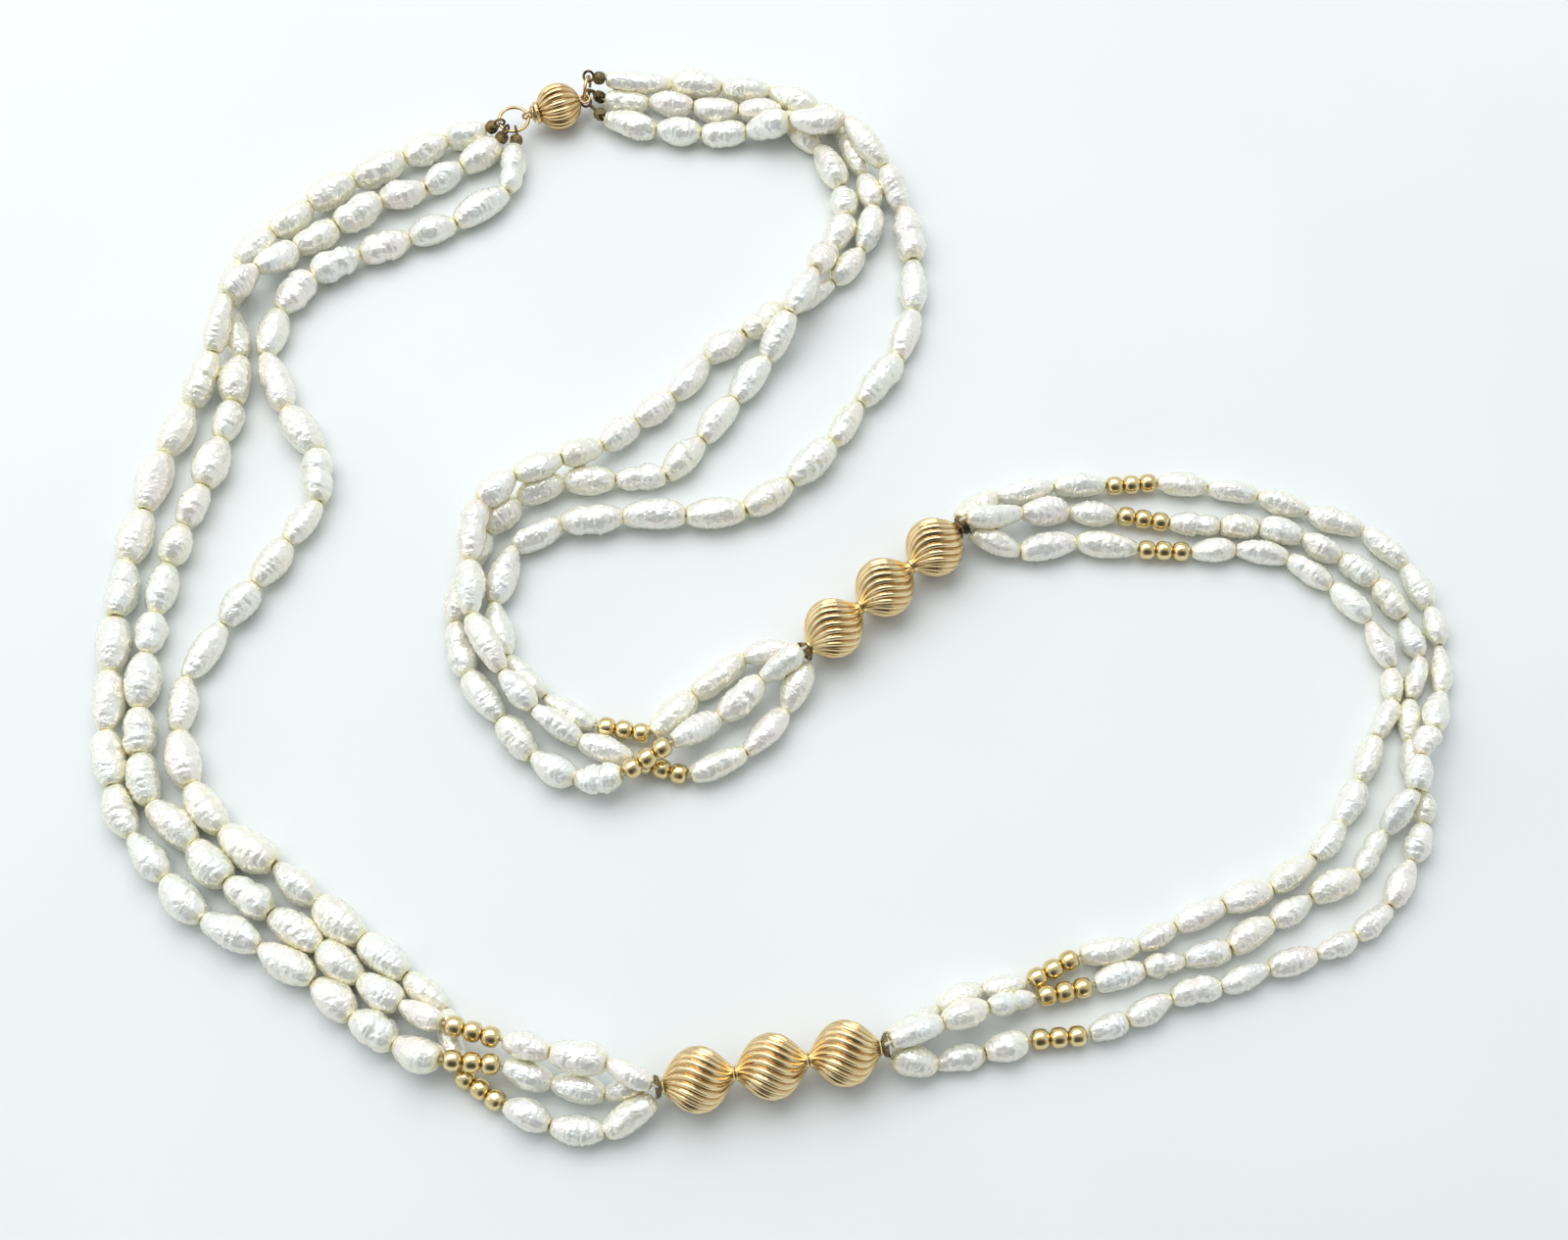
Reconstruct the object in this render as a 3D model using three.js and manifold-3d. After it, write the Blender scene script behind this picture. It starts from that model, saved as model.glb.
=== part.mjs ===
// A three-strand necklace of rice pearls, laid flat in a loop and fastened at the top.
// Millimetres, +Z up, resting on z = 0, with the origin under the middle of the loop.
import * as THREE from 'three';
import { mergeVertices } from 'three/addons/utils/BufferGeometryUtils.js';
import ManifoldModule from 'manifold-3d';

const wasm = await ManifoldModule();
wasm.setup();
const { Manifold, Mesh } = wasm;

// Driving dimensions
const middle = [-1.6, 12.5];      // middle of the laid-out loop, in the layout's own coordinates
const neckShare = 0.38;           // a pearl's end radius as a share of its full radius
const leastNeck = 0.8;
const flattened = 0.95;           // the flat middle of a rounded form, as a share of its full radius
const shoulderAt = 0.27;          // where along its length a pearl reaches full width
const stoutest = 0.36;            // full radius as a share of length, at most
const bore = 0.5;                 // drill hole radius
const threadRadius = 0.22;
const air = 0.3;                  // clearance between neighbouring pieces
const roundBead = 1.6;            // radius of the small gold beads
const roundPitch = 2.84;
const roundWaist = { radius: 0.72, shoulder: 0.55, lap: 0.02 };
const flutedBead = { radius: 5, length: 10.8, pitch: 11.1, bore: 1.1, flutes: 10, twist: -0.9 };
const flutedEnd = { face: 1.5, cone: 3.3, coneAt: 0.8, belly: 0.93, bellyAt: 0.42, depth: 0.035 };
const bundleRadius = 0.7;
const bundling = 0.35;            // distance of each thread from its bundle's axis
const knotRadius = { gathered: 0.62, end: 0.5 };
const knotReach = 1.2;            // end knot to the first pearl
const cup = { inner: 16.8, outer: 17.5, mouth: 1.45, throat: 0.95, wall: 1.75, knot: 0.3 };
const spread = 1.9;               // how far each strand leaves a trio from its axis
const strandsAt = 17.9;           // distance of the strands' ends from a trio's middle
const ball = { centre: [-40.9, 101.3, 4.3], angle: 20, radius: 4.1, ribs: 12, ribDepth: 0.03, wall: 0.45 };
const holes = { mouth: 0.4, mouthInside: 0.46, back: 0.3, rim: 1.7 };   // half angles; rim is a radius
const mouthRing = { inner: 1.6, outer: 1.95, height: 0.6, sunk: 0.25 };
const stopper = { sunk: 1, radius: 0.7, stem: 0.4 };         // holds the ball's loop from inside
const ringWire = 0.3;
const loop = { radius: 0.9, wire: 0.24 };
const tip = { radius: 1.2, length: 2, foot: 0.5, lip: 0.9, mouth: 0.62, cavity: 0.82, floor: 0.6, stem: 0.3 };
const plate = { radius: 1.75, thickness: 0.3, at: -5.1 };   // the tongue's face, outside the mouth
const blade = { length: 6.4, width: 1.2, thickness: 0.4, at: -1.75, below: 0.7 };
const spring = { length: 4.2, width: 1.1, thickness: 0.3, rise: 0.16, fold: 1.5, lift: 0.15 };
const eyeAt = { tongue: -5.85, ball: 4.95 };                 // wire eyes, from the ball's centre
const ringReach = { left: 2.65, right: 2.25 };                // ring radius, eye to ring centre

// Layout: one point at every joint between two pearls, [x, y] or [x, y, z].
// Without a z the strand lies on the table, one pearl radius up.
const left = {
  outer: [[-53.9, 97.1, 2.9], [-61, 95.2], [-68.5, 91], [-77.1, 85.9], [-84.4, 80.7], [-90.6, 74.8],
    [-96.2, 69], [-96.5, 59.8, 2.1], [-93.6, 49.5, 2.1], [-93.9, 40.4], [-95.3, 33.3], [-97.3, 24.2],
    [-99.9, 17], [-101.7, 9.9], [-102.7, 0.9], [-103.3, -6.2], [-103.3, -15.9], [-102.4, -23.7],
    [-99.6, -31.9], [-91.9, -38.8], [-86.1, -44.6], [-79, -49.7], [-70.8, -54.7], [-64.4, -59.9],
    [-57.9, -64, 3.1], [-51, -67.3, 5.4]],
  centre: [[-51.6, 94.2, 2.9], [-58, 89.2], [-64.1, 84.5], [-72.1, 82.1], [-79.4, 76.4], [-86.3, 71.7, 3],
    [-91.9, 65.6, 5.8], [-96.4, 59.4, 7.1], [-97.9, 49.2, 4.8], [-101.1, 39.8], [-104.5, 30.4],
    [-106.7, 19.9], [-108.5, 10.2], [-109, 0.3], [-108.7, -9.5], [-108, -19.8], [-105.9, -28.9],
    [-101.9, -37.2], [-95.8, -44], [-89.2, -50.6], [-79.9, -55], [-71.3, -60.2], [-65.1, -65.7],
    [-58.3, -69.9, 2.8], [-51, -72.7, 5.2]],
  inner: [[-48.4, 93.4, 2.9], [-49.6, 83.9], [-58.3, 77.3], [-66.4, 74.2], [-74.8, 70.4], [-82.9, 66.1],
    [-88, 58.9], [-89.6, 49.8], [-84.9, 39.2], [-78.8, 31], [-77.7, 21.3], [-82.4, 14.1], [-86.9, 6.3],
    [-91.3, -0.9], [-96.6, -10.3], [-96.6, -19.8], [-93.6, -28.9], [-87.7, -36.4], [-79, -41.8],
    [-71.9, -47.8], [-64.6, -53.7], [-57.5, -59.2], [-51.2, -64.4, 2], [-49, -73.8, 1.8]],
};
const leftShort = {
  outer: [[-42, -69.7, 4.6], [-34.6, -71.9, 5.7], [-26.2, -73.4, 6.3]],
  centre: [[-41.8, -73.4, 4.4], [-34.6, -75.6, 2.3], [-26.6, -77.4, 2.4]],
  inner: [[-41.5, -79, 2], [-34.6, -82], [-26.4, -83, 2.4]],
};
const frontShort = {
  upper: [[23.6, -67.2, 5.6], [30.6, -64.7, 5], [38, -62.8, 2.6]],
  centre: [[23.4, -64.4, 2.2], [30, -61.3, 2.1], [36.9, -60.4, 2]],
  lower: [[22.8, -73], [30.2, -71], [36.6, -69.1]],
};
const front = {
  upper: [[62.7, 25.5], [71.1, 24.6], [79.4, 22.9], [87.6, 20], [96.5, 16.4], [102.6, 9.8], [105.7, 2.4],
    [106.5, -4.4], [105.6, -13.2, 2.6], [103, -20.2, 5], [100.1, -25, 6.2], [98.9, -30.6, 5.7],
    [93.9, -36.3], [89, -43.3], [81.4, -46.9], [74.9, -50.9], [68.3, -55], [61.1, -56.8], [54.9, -58.1],
    [47.2, -60.7]],
  centre: [[64.2, 17.9], [72.6, 17.4], [79.2, 17.2], [86.1, 15.3], [92.2, 11.4], [97.6, 6.8], [101.4, 0.6],
    [103.3, -6.4], [100.8, -13.7], [99.6, -20.9, 2], [100.6, -29.9, 2], [100.3, -34.9], [97.7, -41.1],
    [93.5, -48.3], [87.7, -53.1], [81.4, -55.9], [73.9, -58.1], [66.3, -60.9], [58.7, -62.6],
    [51.8, -66.1], [46.1, -68.3]],
  lower: [[67.4, 12.6], [74.9, 13.1], [83.4, 11.5], [90.2, 6.2], [95.5, -0.2], [98.5, -8.3], [98.1, -14.2],
    [94.6, -20.2], [91.1, -27.8], [87.3, -35], [82.5, -40.6], [75.4, -45.5], [67.7, -48.1], [60.1, -51.6],
    [54.2, -54.7], [45.2, -56]],
};
const sideShort = {
  upper: [[35.3, 22.6, 2.3], [45.3, 24.6], [54, 24.7]],
  centre: [[39.4, 18.7, 4.2], [47.5, 20], [55.7, 19.3]],
  lower: [[39.1, 12.3], [48.5, 14.4], [58.5, 12.9]],
};
const right = {
  upper: [[-32.6, 107.2, 4.6], [-20.6, 107.8], [-11.4, 106.7], [-2.5, 106.1], [5.8, 102.3], [10.6, 97.6, 2.1],
    [14.2, 87.6, 2.1], [16.1, 80.4], [13.8, 71.4], [8.6, 64.8, 2.1], [-0.3, 59.4, 2.1], [-6.9, 54.2],
    [-13.6, 49.5], [-19.2, 41.7], [-25.1, 36.7], [-30.8, 31.7, 3.4], [-37.3, 28.1, 5.6], [-44.8, 24.8, 6.3],
    [-50.6, 19.5, 6.5], [-51.4, 8.7, 6.5], [-50.6, -0.9, 6.4], [-45.2, -10.5, 5.7], [-39.9, -16.3, 4.3],
    [-32.4, -21.3, 2.7], [-24, -24.3, 1.9]],
  centre: [[-32.8, 104.2, 2.4], [-24.6, 103.6], [-16.5, 102.3], [-8.3, 101.5], [-0.4, 101.1, 2.1],
    [6.2, 93.4, 2.1], [10.4, 84.8], [11.1, 78.6], [8.3, 71.5, 3.2], [5.4, 65.1, 6.4], [1.1, 56.4, 6.1],
    [-3.1, 48.9, 2.8], [-8.6, 41.1], [-13.9, 33.3], [-19.8, 26.4], [-28.3, 25.9], [-37.1, 25.6, 2.1],
    [-44.6, 22, 2.1], [-49.3, 15.9, 2.1], [-53, 8.2, 2.1], [-53.7, -0.6, 2.1], [-51, -9.8], [-45.2, -17.6],
    [-39.9, -23.8], [-32.9, -27.8, 2.8], [-25.4, -27.7, 4.8]],
  lower: [[-32.6, 99.8, 2.8], [-23.1, 97.3], [-15, 96.5], [-6.9, 96.6, 2.8], [1, 97.1, 6.2], [11, 96.6, 7.1],
    [18.1, 87.9, 4.7], [21.4, 79.8], [22.7, 69.2], [22.7, 58.9], [19.6, 49.5], [13, 40.4], [8, 32.6],
    [1.1, 25.1], [-6.4, 19.9], [-16.4, 19], [-26.8, 18.7], [-37.1, 17.6], [-44.9, 13.1], [-47.5, 2.8, 2.1],
    [-45.2, -6.6, 2.1], [-38.5, -13.5], [-30.2, -18.4]],
};
const rightShort = {
  upper: [[-14.8, -27, 1.9], [-6.1, -23.2], [0.3, -16]],
  centre: [[-17.7, -22.5, 5.7], [-10.4, -17.3, 2.7], [-3.5, -11.3, 4.7]],
  lower: [[-20.9, -20, 2.2], [-14.6, -13.2], [-6.6, -6.7, 2.5]],
};
const fullness = { left: 2.5, leftShort: 2.15, front: 1.95, frontShort: 2.1, right: 2.3, rightShort: 2.15 };

// Two trios of fluted gold beads join the sections.
const frontTrio = { centre: [-1.8, -73.7, 4.92], angle: 10.2 };
const sideTrio = { centre: [16.4, 4.7, 4.92], angle: 41 };

const V = (x, y, z) => new THREE.Vector3(x, y, z);
const up = V(0, 0, 1);
const heading = (degrees) => V(Math.cos(degrees * Math.PI / 180), Math.sin(degrees * Math.PI / 180), 0);
const placed = ([x, y, z], height) => V(x - middle[0], y - middle[1], z ?? height);
const along = (from, direction, distance) => from.clone().addScaledVector(direction, distance);

function trioPoint(trio, distance, turn = 0, offset = 0) {
  const axis = heading(trio.angle);
  const across = V(-axis.y, axis.x, 0);
  return along(placed(trio.centre), axis, distance)
    .addScaledVector(across, offset * Math.cos(turn))
    .addScaledVector(up, offset * Math.sin(turn));
}
const leaving = { top: Math.PI / 2, far: -Math.PI / 6, near: Math.PI * 7 / 6 };
const strandEnd = (trio, side, place) => trioPoint(trio, side * strandsAt, leaving[place], spread);

// Strands: each has its joint points, its full radius and, at one end, a place on a trio.
const strands = [];
function strand(name, points, radius, { first, last } = {}) {
  const route = points.map((p) => placed(p, radius));
  if (first) route.unshift(first);
  if (last) route.push(last);
  strands.push({ name, route, radius });
}
const [frontStart, frontEnd] = [-1, 1].map((side) => (place) => strandEnd(frontTrio, side, place));
const [sideStart, sideEnd] = [-1, 1].map((side) => (place) => strandEnd(sideTrio, side, place));
for (const key of ['outer', 'centre', 'inner']) strand(`left_${key}`, left[key], fullness.left);
strand('left_short_outer', leftShort.outer, fullness.leftShort, { last: frontStart('top') });
strand('left_short_centre', leftShort.centre, fullness.leftShort, { last: frontStart('far') });
strand('left_short_inner', leftShort.inner, fullness.leftShort, { last: frontStart('near') });
strand('front_short_upper', frontShort.upper, fullness.frontShort, { first: frontEnd('top') });
strand('front_short_centre', frontShort.centre, fullness.frontShort, { first: frontEnd('far') });
strand('front_short_lower', frontShort.lower, fullness.frontShort, { first: frontEnd('near') });
for (const key of ['upper', 'centre', 'lower']) strand(`front_${key}`, front[key], fullness.front);
strand('side_short_upper', sideShort.upper, fullness.frontShort, { first: sideEnd('far') });
strand('side_short_centre', sideShort.centre, fullness.frontShort, { first: sideEnd('top') });
strand('side_short_lower', sideShort.lower, fullness.frontShort, { first: sideEnd('near') });
for (const key of ['upper', 'centre', 'lower']) strand(`right_${key}`, right[key], fullness.right);
strand('right_short_upper', rightShort.upper, fullness.rightShort, { last: sideStart('near') });
strand('right_short_centre', rightShort.centre, fullness.rightShort, { last: sideStart('top') });
strand('right_short_lower', rightShort.lower, fullness.rightShort, { last: sideStart('far') });
const routeOf = Object.fromEntries(strands.map((s) => [s.name, s.route]));

// Three round gold beads bridge each long strand and its short one.
const bridges = [
  ['left_outer', 'left_short_outer', 'last', 'first'],
  ['left_centre', 'left_short_centre', 'last', 'first'],
  ['left_inner', 'left_short_inner', 'last', 'first'],
  ['front_short_upper', 'front_upper', 'last', 'last'],
  ['front_short_centre', 'front_lower', 'last', 'last'],
  ['front_short_lower', 'front_centre', 'last', 'last'],
  ['side_short_upper', 'front_upper', 'last', 'first'],
  ['side_short_centre', 'front_centre', 'last', 'first'],
  ['side_short_lower', 'front_lower', 'last', 'first'],
  ['right_upper', 'right_short_upper', 'last', 'first'],
  ['right_centre', 'right_short_centre', 'last', 'first'],
  ['right_lower', 'right_short_lower', 'last', 'first'],
].map(([a, b, endA, endB]) => {
  const end = (route, which) => (which === 'last' ? route[route.length - 1] : route[0]);
  return { from: end(routeOf[a], endA), to: end(routeOf[b], endB) };
});

// A pearl is as full as its strand, its own growth and its neighbours let it be.
const growth = (s, i) => 0.92 + 0.16 * Math.abs(Math.sin(12.9898 * i + 78.233 * s) * 43.758 % 1);
const outline = (t) => neckShare + (1 - neckShare) * Math.sin(Math.PI * t) ** 0.6;
const stations = [0, 0.125, 0.25, 0.375, 0.5, 0.625, 0.75, 0.875, 1];
const pearls = strands.flatMap((s, row) => s.route.slice(1).map((end, i) => {
  const start = s.route[i];
  const radius = Math.min(s.radius * growth(row, i), stoutest * start.distanceTo(end));
  const probes = stations.map((t) => ({ at: start.clone().lerp(end, t), share: outline(t) }));
  return { row, radius, probes };
}));
const beadCentres = bridges.flatMap(({ from, to }) => {
  const direction = to.clone().sub(from).normalize();
  const centre = from.clone().lerp(to, 0.5);
  const bead = (k) => ({ at: along(centre, direction, k * roundPitch), radius: roundBead, from, to });
  return [-1, 0, 1].map(bead);
});
const flutedCentres = [frontTrio, sideTrio].flatMap((trio) => [-1, 0, 1].map((k) => (
  { at: trioPoint(trio, k * flutedBead.pitch), radius: flutedBead.radius }
)));
const fixed = [...beadCentres, ...flutedCentres];
for (const pearl of pearls) {
  const { route } = strands[pearl.row];
  for (const bead of fixed.filter((b) => !route.includes(b.from) && !route.includes(b.to))) {
    for (const probe of pearl.probes) {
      const room = (probe.at.distanceTo(bead.at) - bead.radius - air) / probe.share;
      pearl.radius = Math.min(pearl.radius, room);
    }
  }
}
for (const pearl of pearls) {
  for (const other of pearls) {
    if (other.row <= pearl.row) continue;
    for (const a of pearl.probes) {
      for (const b of other.probes) {
        const room = (a.at.distanceTo(b.at) - air) / (a.share + b.share);
        if (pearl.radius > room && other.radius > room) pearl.radius = other.radius = room;
        if (a.share * pearl.radius + b.share * other.radius > room * (a.share + b.share)) {
          const larger = pearl.radius > other.radius ? pearl : other;
          const smaller = larger === pearl ? b.share * other.radius : a.share * pearl.radius;
          const share = larger === pearl ? a.share : b.share;
          larger.radius = (room * (a.share + b.share) - smaller) / share;
        }
      }
    }
  }
}

// Closed solids
const spin = (profile, segments) => (
  new THREE.LatheGeometry(profile.map(([r, y]) => new THREE.Vector2(r, y)), segments)
);
function weld(geometry) {
  const bare = geometry.clone();
  bare.deleteAttribute('normal');
  bare.deleteAttribute('uv');
  const joined = mergeVertices(bare, 1e-4);
  const corners = joined.index.array;
  const kept = [];
  for (let i = 0; i < corners.length; i += 3) {
    const [a, b, c] = corners.slice(i, i + 3);
    if (a !== b && b !== c && c !== a) kept.push(a, b, c);
  }
  joined.setIndex(kept);
  return joined;
}
function solid(geometry) {
  const { index, attributes } = weld(geometry);
  const triangles = Uint32Array.from(index.array);
  const build = () => new Manifold(new Mesh({
    numProp: 3, vertProperties: Float32Array.from(attributes.position.array), triVerts: triangles,
  }));
  const first = build();
  if (first.volume() > 0) return first;
  for (let i = 0; i < triangles.length; i += 3) {
    [triangles[i], triangles[i + 1]] = [triangles[i + 1], triangles[i]];
  }
  return build();
}
function meshed(body) {
  const { vertProperties, triVerts, numProp } = body.getMesh();
  const geometry = new THREE.BufferGeometry();
  const points = [];
  for (let i = 0; i < vertProperties.length; i += numProp) points.push(...vertProperties.slice(i, i + 3));
  geometry.setAttribute('position', new THREE.Float32BufferAttribute(points, 3));
  geometry.setIndex([...triVerts]);
  geometry.computeVertexNormals();
  return geometry;
}

// Bends a solid made along +Y so that each unit of Y runs from one route point to the next.
function follow(geometry, route) {
  const direction = (i) => route[i + 1].clone().sub(route[i]).normalize();
  const last = route.length - 2;
  const position = geometry.attributes.position;
  for (let v = 0; v < position.count; v += 1) {
    const [x, y, z] = [position.getX(v), position.getY(v), position.getZ(v)];
    const i = THREE.MathUtils.clamp(Math.floor(y + 1e-6), 0, last);
    const t = y - i;
    const tangent = direction(i);
    if (Math.abs(t) < 1e-6 && i > 0) tangent.add(direction(i - 1)).normalize();
    const side = new THREE.Vector3().crossVectors(tangent, up).normalize();
    const over = new THREE.Vector3().crossVectors(side, tangent);
    const point = route[i].clone().lerp(route[i + 1], t).addScaledVector(side, x).addScaledVector(over, z);
    position.setXYZ(v, point.x, point.y, point.z);
  }
  return geometry;
}

function pearlChain(row) {
  const { route } = strands[row];
  const own = pearls.filter((pearl) => pearl.row === row);
  const neck = (pearl) => Math.max(leastNeck, neckShare * pearl.radius);
  const pull = (i) => air / own[i].probes[0].at.distanceTo(own[i].probes[8].at);
  const profile = [[bore, pull(0)], [neck(own[0]), pull(0)]];
  own.forEach((pearl, i) => {
    if (i > 0) profile.push([Math.min(neck(pearl), neck(own[i - 1])), i]);
    const flat = pearl.radius * flattened;
    profile.push([flat, i + shoulderAt], [flat, i + 1 - shoulderAt]);
  });
  const end = own.length - pull(own.length - 1);
  profile.push([neck(own[own.length - 1]), end], [bore, end]);
  for (let i = own.length - 1; i > 0; i -= 1) profile.push([bore, i]);
  profile.push(profile[0]);
  return solid(follow(spin(profile, 5), route));
}

// A cord of the given radius through a row of points.
function cord(points, radius, sides) {
  const profile = [[0, 0], ...points.map((_, i) => [radius, i]), [0, points.length - 1]];
  return solid(follow(spin(profile, sides), points));
}
const blob = (at, radius) => solid(new THREE.IcosahedronGeometry(radius, 0).translate(at.x, at.y, at.z));
const unite = (bodies) => Manifold.union(bodies);

// A body turned about +Y, laid along a direction from a point.
function aim(geometry, from, direction) {
  const turn = new THREE.Quaternion().setFromUnitVectors(V(0, 1, 0), direction);
  return geometry.applyQuaternion(turn).translate(from.x, from.y, from.z);
}
function ribbed(profile, segments, ribs, depth, twist, smoothInside) {
  const geometry = spin(profile, segments);
  const position = geometry.attributes.position;
  for (let v = 0; v < position.count; v += 1) {
    const [x, y, z] = [position.getX(v), position.getY(v), position.getZ(v)];
    const radius = Math.hypot(x, z);
    if (radius < smoothInside) continue;
    const angle = Math.atan2(z, x);
    const wave = 1 + depth * Math.cos(ribs * angle);
    const turned = angle + twist * y;
    position.setXYZ(v, radius * wave * Math.cos(turned), y, radius * wave * Math.sin(turned));
  }
  return geometry;
}

function flutedGoldBead(trio, k) {
  const half = flutedBead.length / 2;
  const { radius, bore: hole, flutes } = flutedBead;
  const { face, cone, coneAt, belly, bellyAt, depth } = flutedEnd;
  const profile = [
    [hole, -half], [face, -half], [cone, -half * coneAt], [radius * belly, -half * bellyAt], [radius, 0],
    [radius * belly, half * bellyAt], [cone, half * coneAt], [face, half], [hole, half], [hole, -half],
  ];
  const turn = flutedBead.twist / flutedBead.length;
  const geometry = ribbed(profile, flutes * 2, flutes, depth, turn, face);
  return solid(aim(geometry, trioPoint(trio, k * flutedBead.pitch), heading(trio.angle)));
}

function roundTriple({ from, to }) {
  const direction = to.clone().sub(from).normalize();
  const { radius: waist, shoulder, lap } = roundWaist;
  const flat = roundBead * flattened;
  const half = 1.5 * roundPitch;
  const profile = [[bore, -half]];
  for (const k of [-1, 0, 1]) {
    const centre = k * roundPitch;
    profile.push([waist, centre - roundPitch / 2 + lap]);
    profile.push([flat, centre - shoulder], [flat, centre + shoulder]);
  }
  profile.push([waist, half - lap], [bore, half], [bore, -half]);
  return solid(aim(spin(profile, 6), from.clone().lerp(to, 0.5), direction));
}

function gatherCup(trio, side) {
  const depth = cup.outer - cup.inner;
  const { throat, wall, mouth } = cup;
  const profile = [[throat, 0], [wall - 0.3, 0], [wall, depth], [mouth, depth], [throat, 0]];
  const outward = heading(trio.angle).multiplyScalar(side);
  return solid(aim(spin(profile, 12), trioPoint(trio, side * cup.inner), outward));
}

// Threads run the whole length of their strands and gather into a bundle at the trios.
const gather = (trio, side, place) => (
  trioPoint(trio, side * (cup.inner + cup.knot), leaving[place], bundling)
);
const thread = (rows, { trio, side, place }) => (
  cord([...rows.flatMap((name) => routeOf[name]), gather(trio, side, place)], threadRadius, 3)
);
const knotAt = (trio, side) => blob(trioPoint(trio, side * (cup.inner + cup.knot)), knotRadius.gathered);
const bundle = (trio, side) => cord([
  trioPoint(trio, side * (cup.inner + cup.knot)), trioPoint(trio, -side * (cup.inner - roundBead / 2)),
], bundleRadius, 6);

// The ball clasp: a ribbed ball with a mouth, and a sprung tongue that slides into it.
const claspAxis = heading(ball.angle);
const ballCentre = placed(ball.centre);
const mouth = ball.radius + 0.1;
const claspPoint = (distance) => along(ballCentre, claspAxis, distance);

function ballShell() {
  const profile = [];
  const inner = ball.radius - ball.wall;
  const arc = (radius, from, to, steps) => {
    for (let i = 0; i <= steps; i += 1) {
      const angle = from + (to - from) * i / steps;
      profile.push([radius * Math.sin(angle), -radius * Math.cos(angle)]);
    }
  };
  arc(ball.radius, holes.mouth, Math.PI - holes.back, 6);
  arc(inner, Math.PI - holes.back, holes.mouthInside, 4);
  profile.push(profile[0]);
  const geometry = ribbed(profile, 2 * ball.ribs, ball.ribs, ball.ribDepth, 0, holes.rim);
  return solid(aim(geometry, ballCentre, claspAxis));
}
function collar() {
  const { inner, outer, height, sunk } = mouthRing;
  const profile = [[inner, 0], [outer, 0], [outer, height], [inner, height], [inner, 0]];
  return solid(aim(spin(profile, 12), claspPoint(-mouth - sunk), claspAxis));
}
// A wire loop around a point, its hole facing along the given axis.
function wireLoop(at, axis, radius, wire, steps = 12) {
  const geometry = new THREE.TorusGeometry(radius, wire, 6, steps);
  const turn = new THREE.Quaternion().setFromUnitVectors(V(0, 0, 1), axis);
  return solid(geometry.applyQuaternion(turn).translate(at.x, at.y, at.z));
}
const across = V(-claspAxis.y, claspAxis.x, 0);

const leftEye = claspPoint(eyeAt.tongue);
const leftRingCentre = claspPoint(eyeAt.tongue - ringReach.left);
function tongue() {
  const disc = [[0, 0], [plate.radius, 0], [plate.radius, plate.thickness], [0, plate.thickness]];
  const face = solid(aim(spin(disc, 12), claspPoint(plate.at), claspAxis));
  const { length, width, thickness, at, below } = blade;
  const floor = solid(new THREE.BoxGeometry(length, width, thickness)
    .rotateZ(ball.angle * Math.PI / 180)
    .translate(claspPoint(at).x, claspPoint(at).y, ballCentre.z - below));
  return unite([face, floor, wireLoop(leftEye, across, loop.radius, loop.wire)]);
}
function leaf() {
  const { length, width, thickness, rise, fold, lift } = spring;
  const geometry = new THREE.BoxGeometry(length, width, thickness)
    .rotateY(rise).translate(-length / 2 + 0.1, 0, lift)
    .rotateZ(ball.angle * Math.PI / 180);
  const from = claspPoint(fold);
  return solid(geometry.translate(from.x, from.y, ballCentre.z));
}
const rightEye = claspPoint(eyeAt.ball);
function ballLoop() {
  const root = claspPoint(ball.radius - stopper.sunk);
  const stem = cord([root, claspPoint(ball.radius + stopper.stem)], stopper.stem, 6);
  const stop = blob(root, stopper.radius);
  return unite([stem, stop, wireLoop(rightEye, up, loop.radius, loop.wire)]);
}
const rightRingWay = heading(80);
const rightRingCentre = along(rightEye, rightRingWay, ringReach.right);

// A bead tip: a small cup round the end knot, with a hook closed round the ring.
function beadTip(hookAt, hookAxis, end) {
  const arm = end.clone().sub(hookAt);
  const way = arm.clone().normalize();
  const reach = arm.length() - air;
  const base = reach - tip.length;
  const widest = base + tip.length * 0.65;
  const profile = [
    [0, base], [tip.foot, base], [tip.radius * 0.9, base + tip.foot], [tip.radius, widest], [tip.lip, reach],
    [tip.mouth, reach], [tip.cavity, widest], [tip.cavity * 0.85, base + tip.floor * 1.2], [0, base + tip.floor],
  ];
  const shell = solid(aim(spin(profile, 10), hookAt, way));
  const stem = cord([along(hookAt, way, loop.radius), along(hookAt, way, base + tip.stem)], tip.stem, 6);
  return unite([shell, stem, wireLoop(hookAt, hookAxis, loop.radius, loop.wire, 10)]);
}
const onLeftRing = (degrees) => along(leftRingCentre, heading(degrees), ringReach.left);
const onRightRing = (degrees) => {
  const angle = degrees * Math.PI / 180;
  return rightRingCentre.clone()
    .addScaledVector(rightRingWay, ringReach.right * Math.cos(angle))
    .addScaledVector(up, ringReach.right * Math.sin(angle));
};
const leftTangent = (degrees) => heading(degrees + 90);
const rightTangent = (degrees) => {
  const angle = degrees * Math.PI / 180;
  return rightRingWay.clone().multiplyScalar(-Math.sin(angle)).addScaledVector(up, Math.cos(angle));
};
const leftTips = { left_outer: 196, left_centre: 240, left_inner: 283 };
const rightTips = { right_upper: 40, right_centre: -60, right_lower: -140 };

// Each thread ends in a knot inside its bead tip.
const hooks = {
  ...Object.fromEntries(Object.entries(leftTips).map(([name, degrees]) => [name, onLeftRing(degrees)])),
  ...Object.fromEntries(Object.entries(rightTips).map(([name, degrees]) => [name, onRightRing(degrees)])),
};
function knottedEnd(name) {
  const first = routeOf[name][0];
  const knot = along(first, hooks[name].clone().sub(first).normalize(), knotReach);
  return [blob(knot, knotRadius.end), cord([knot, first], threadRadius, 3)];
}

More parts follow.
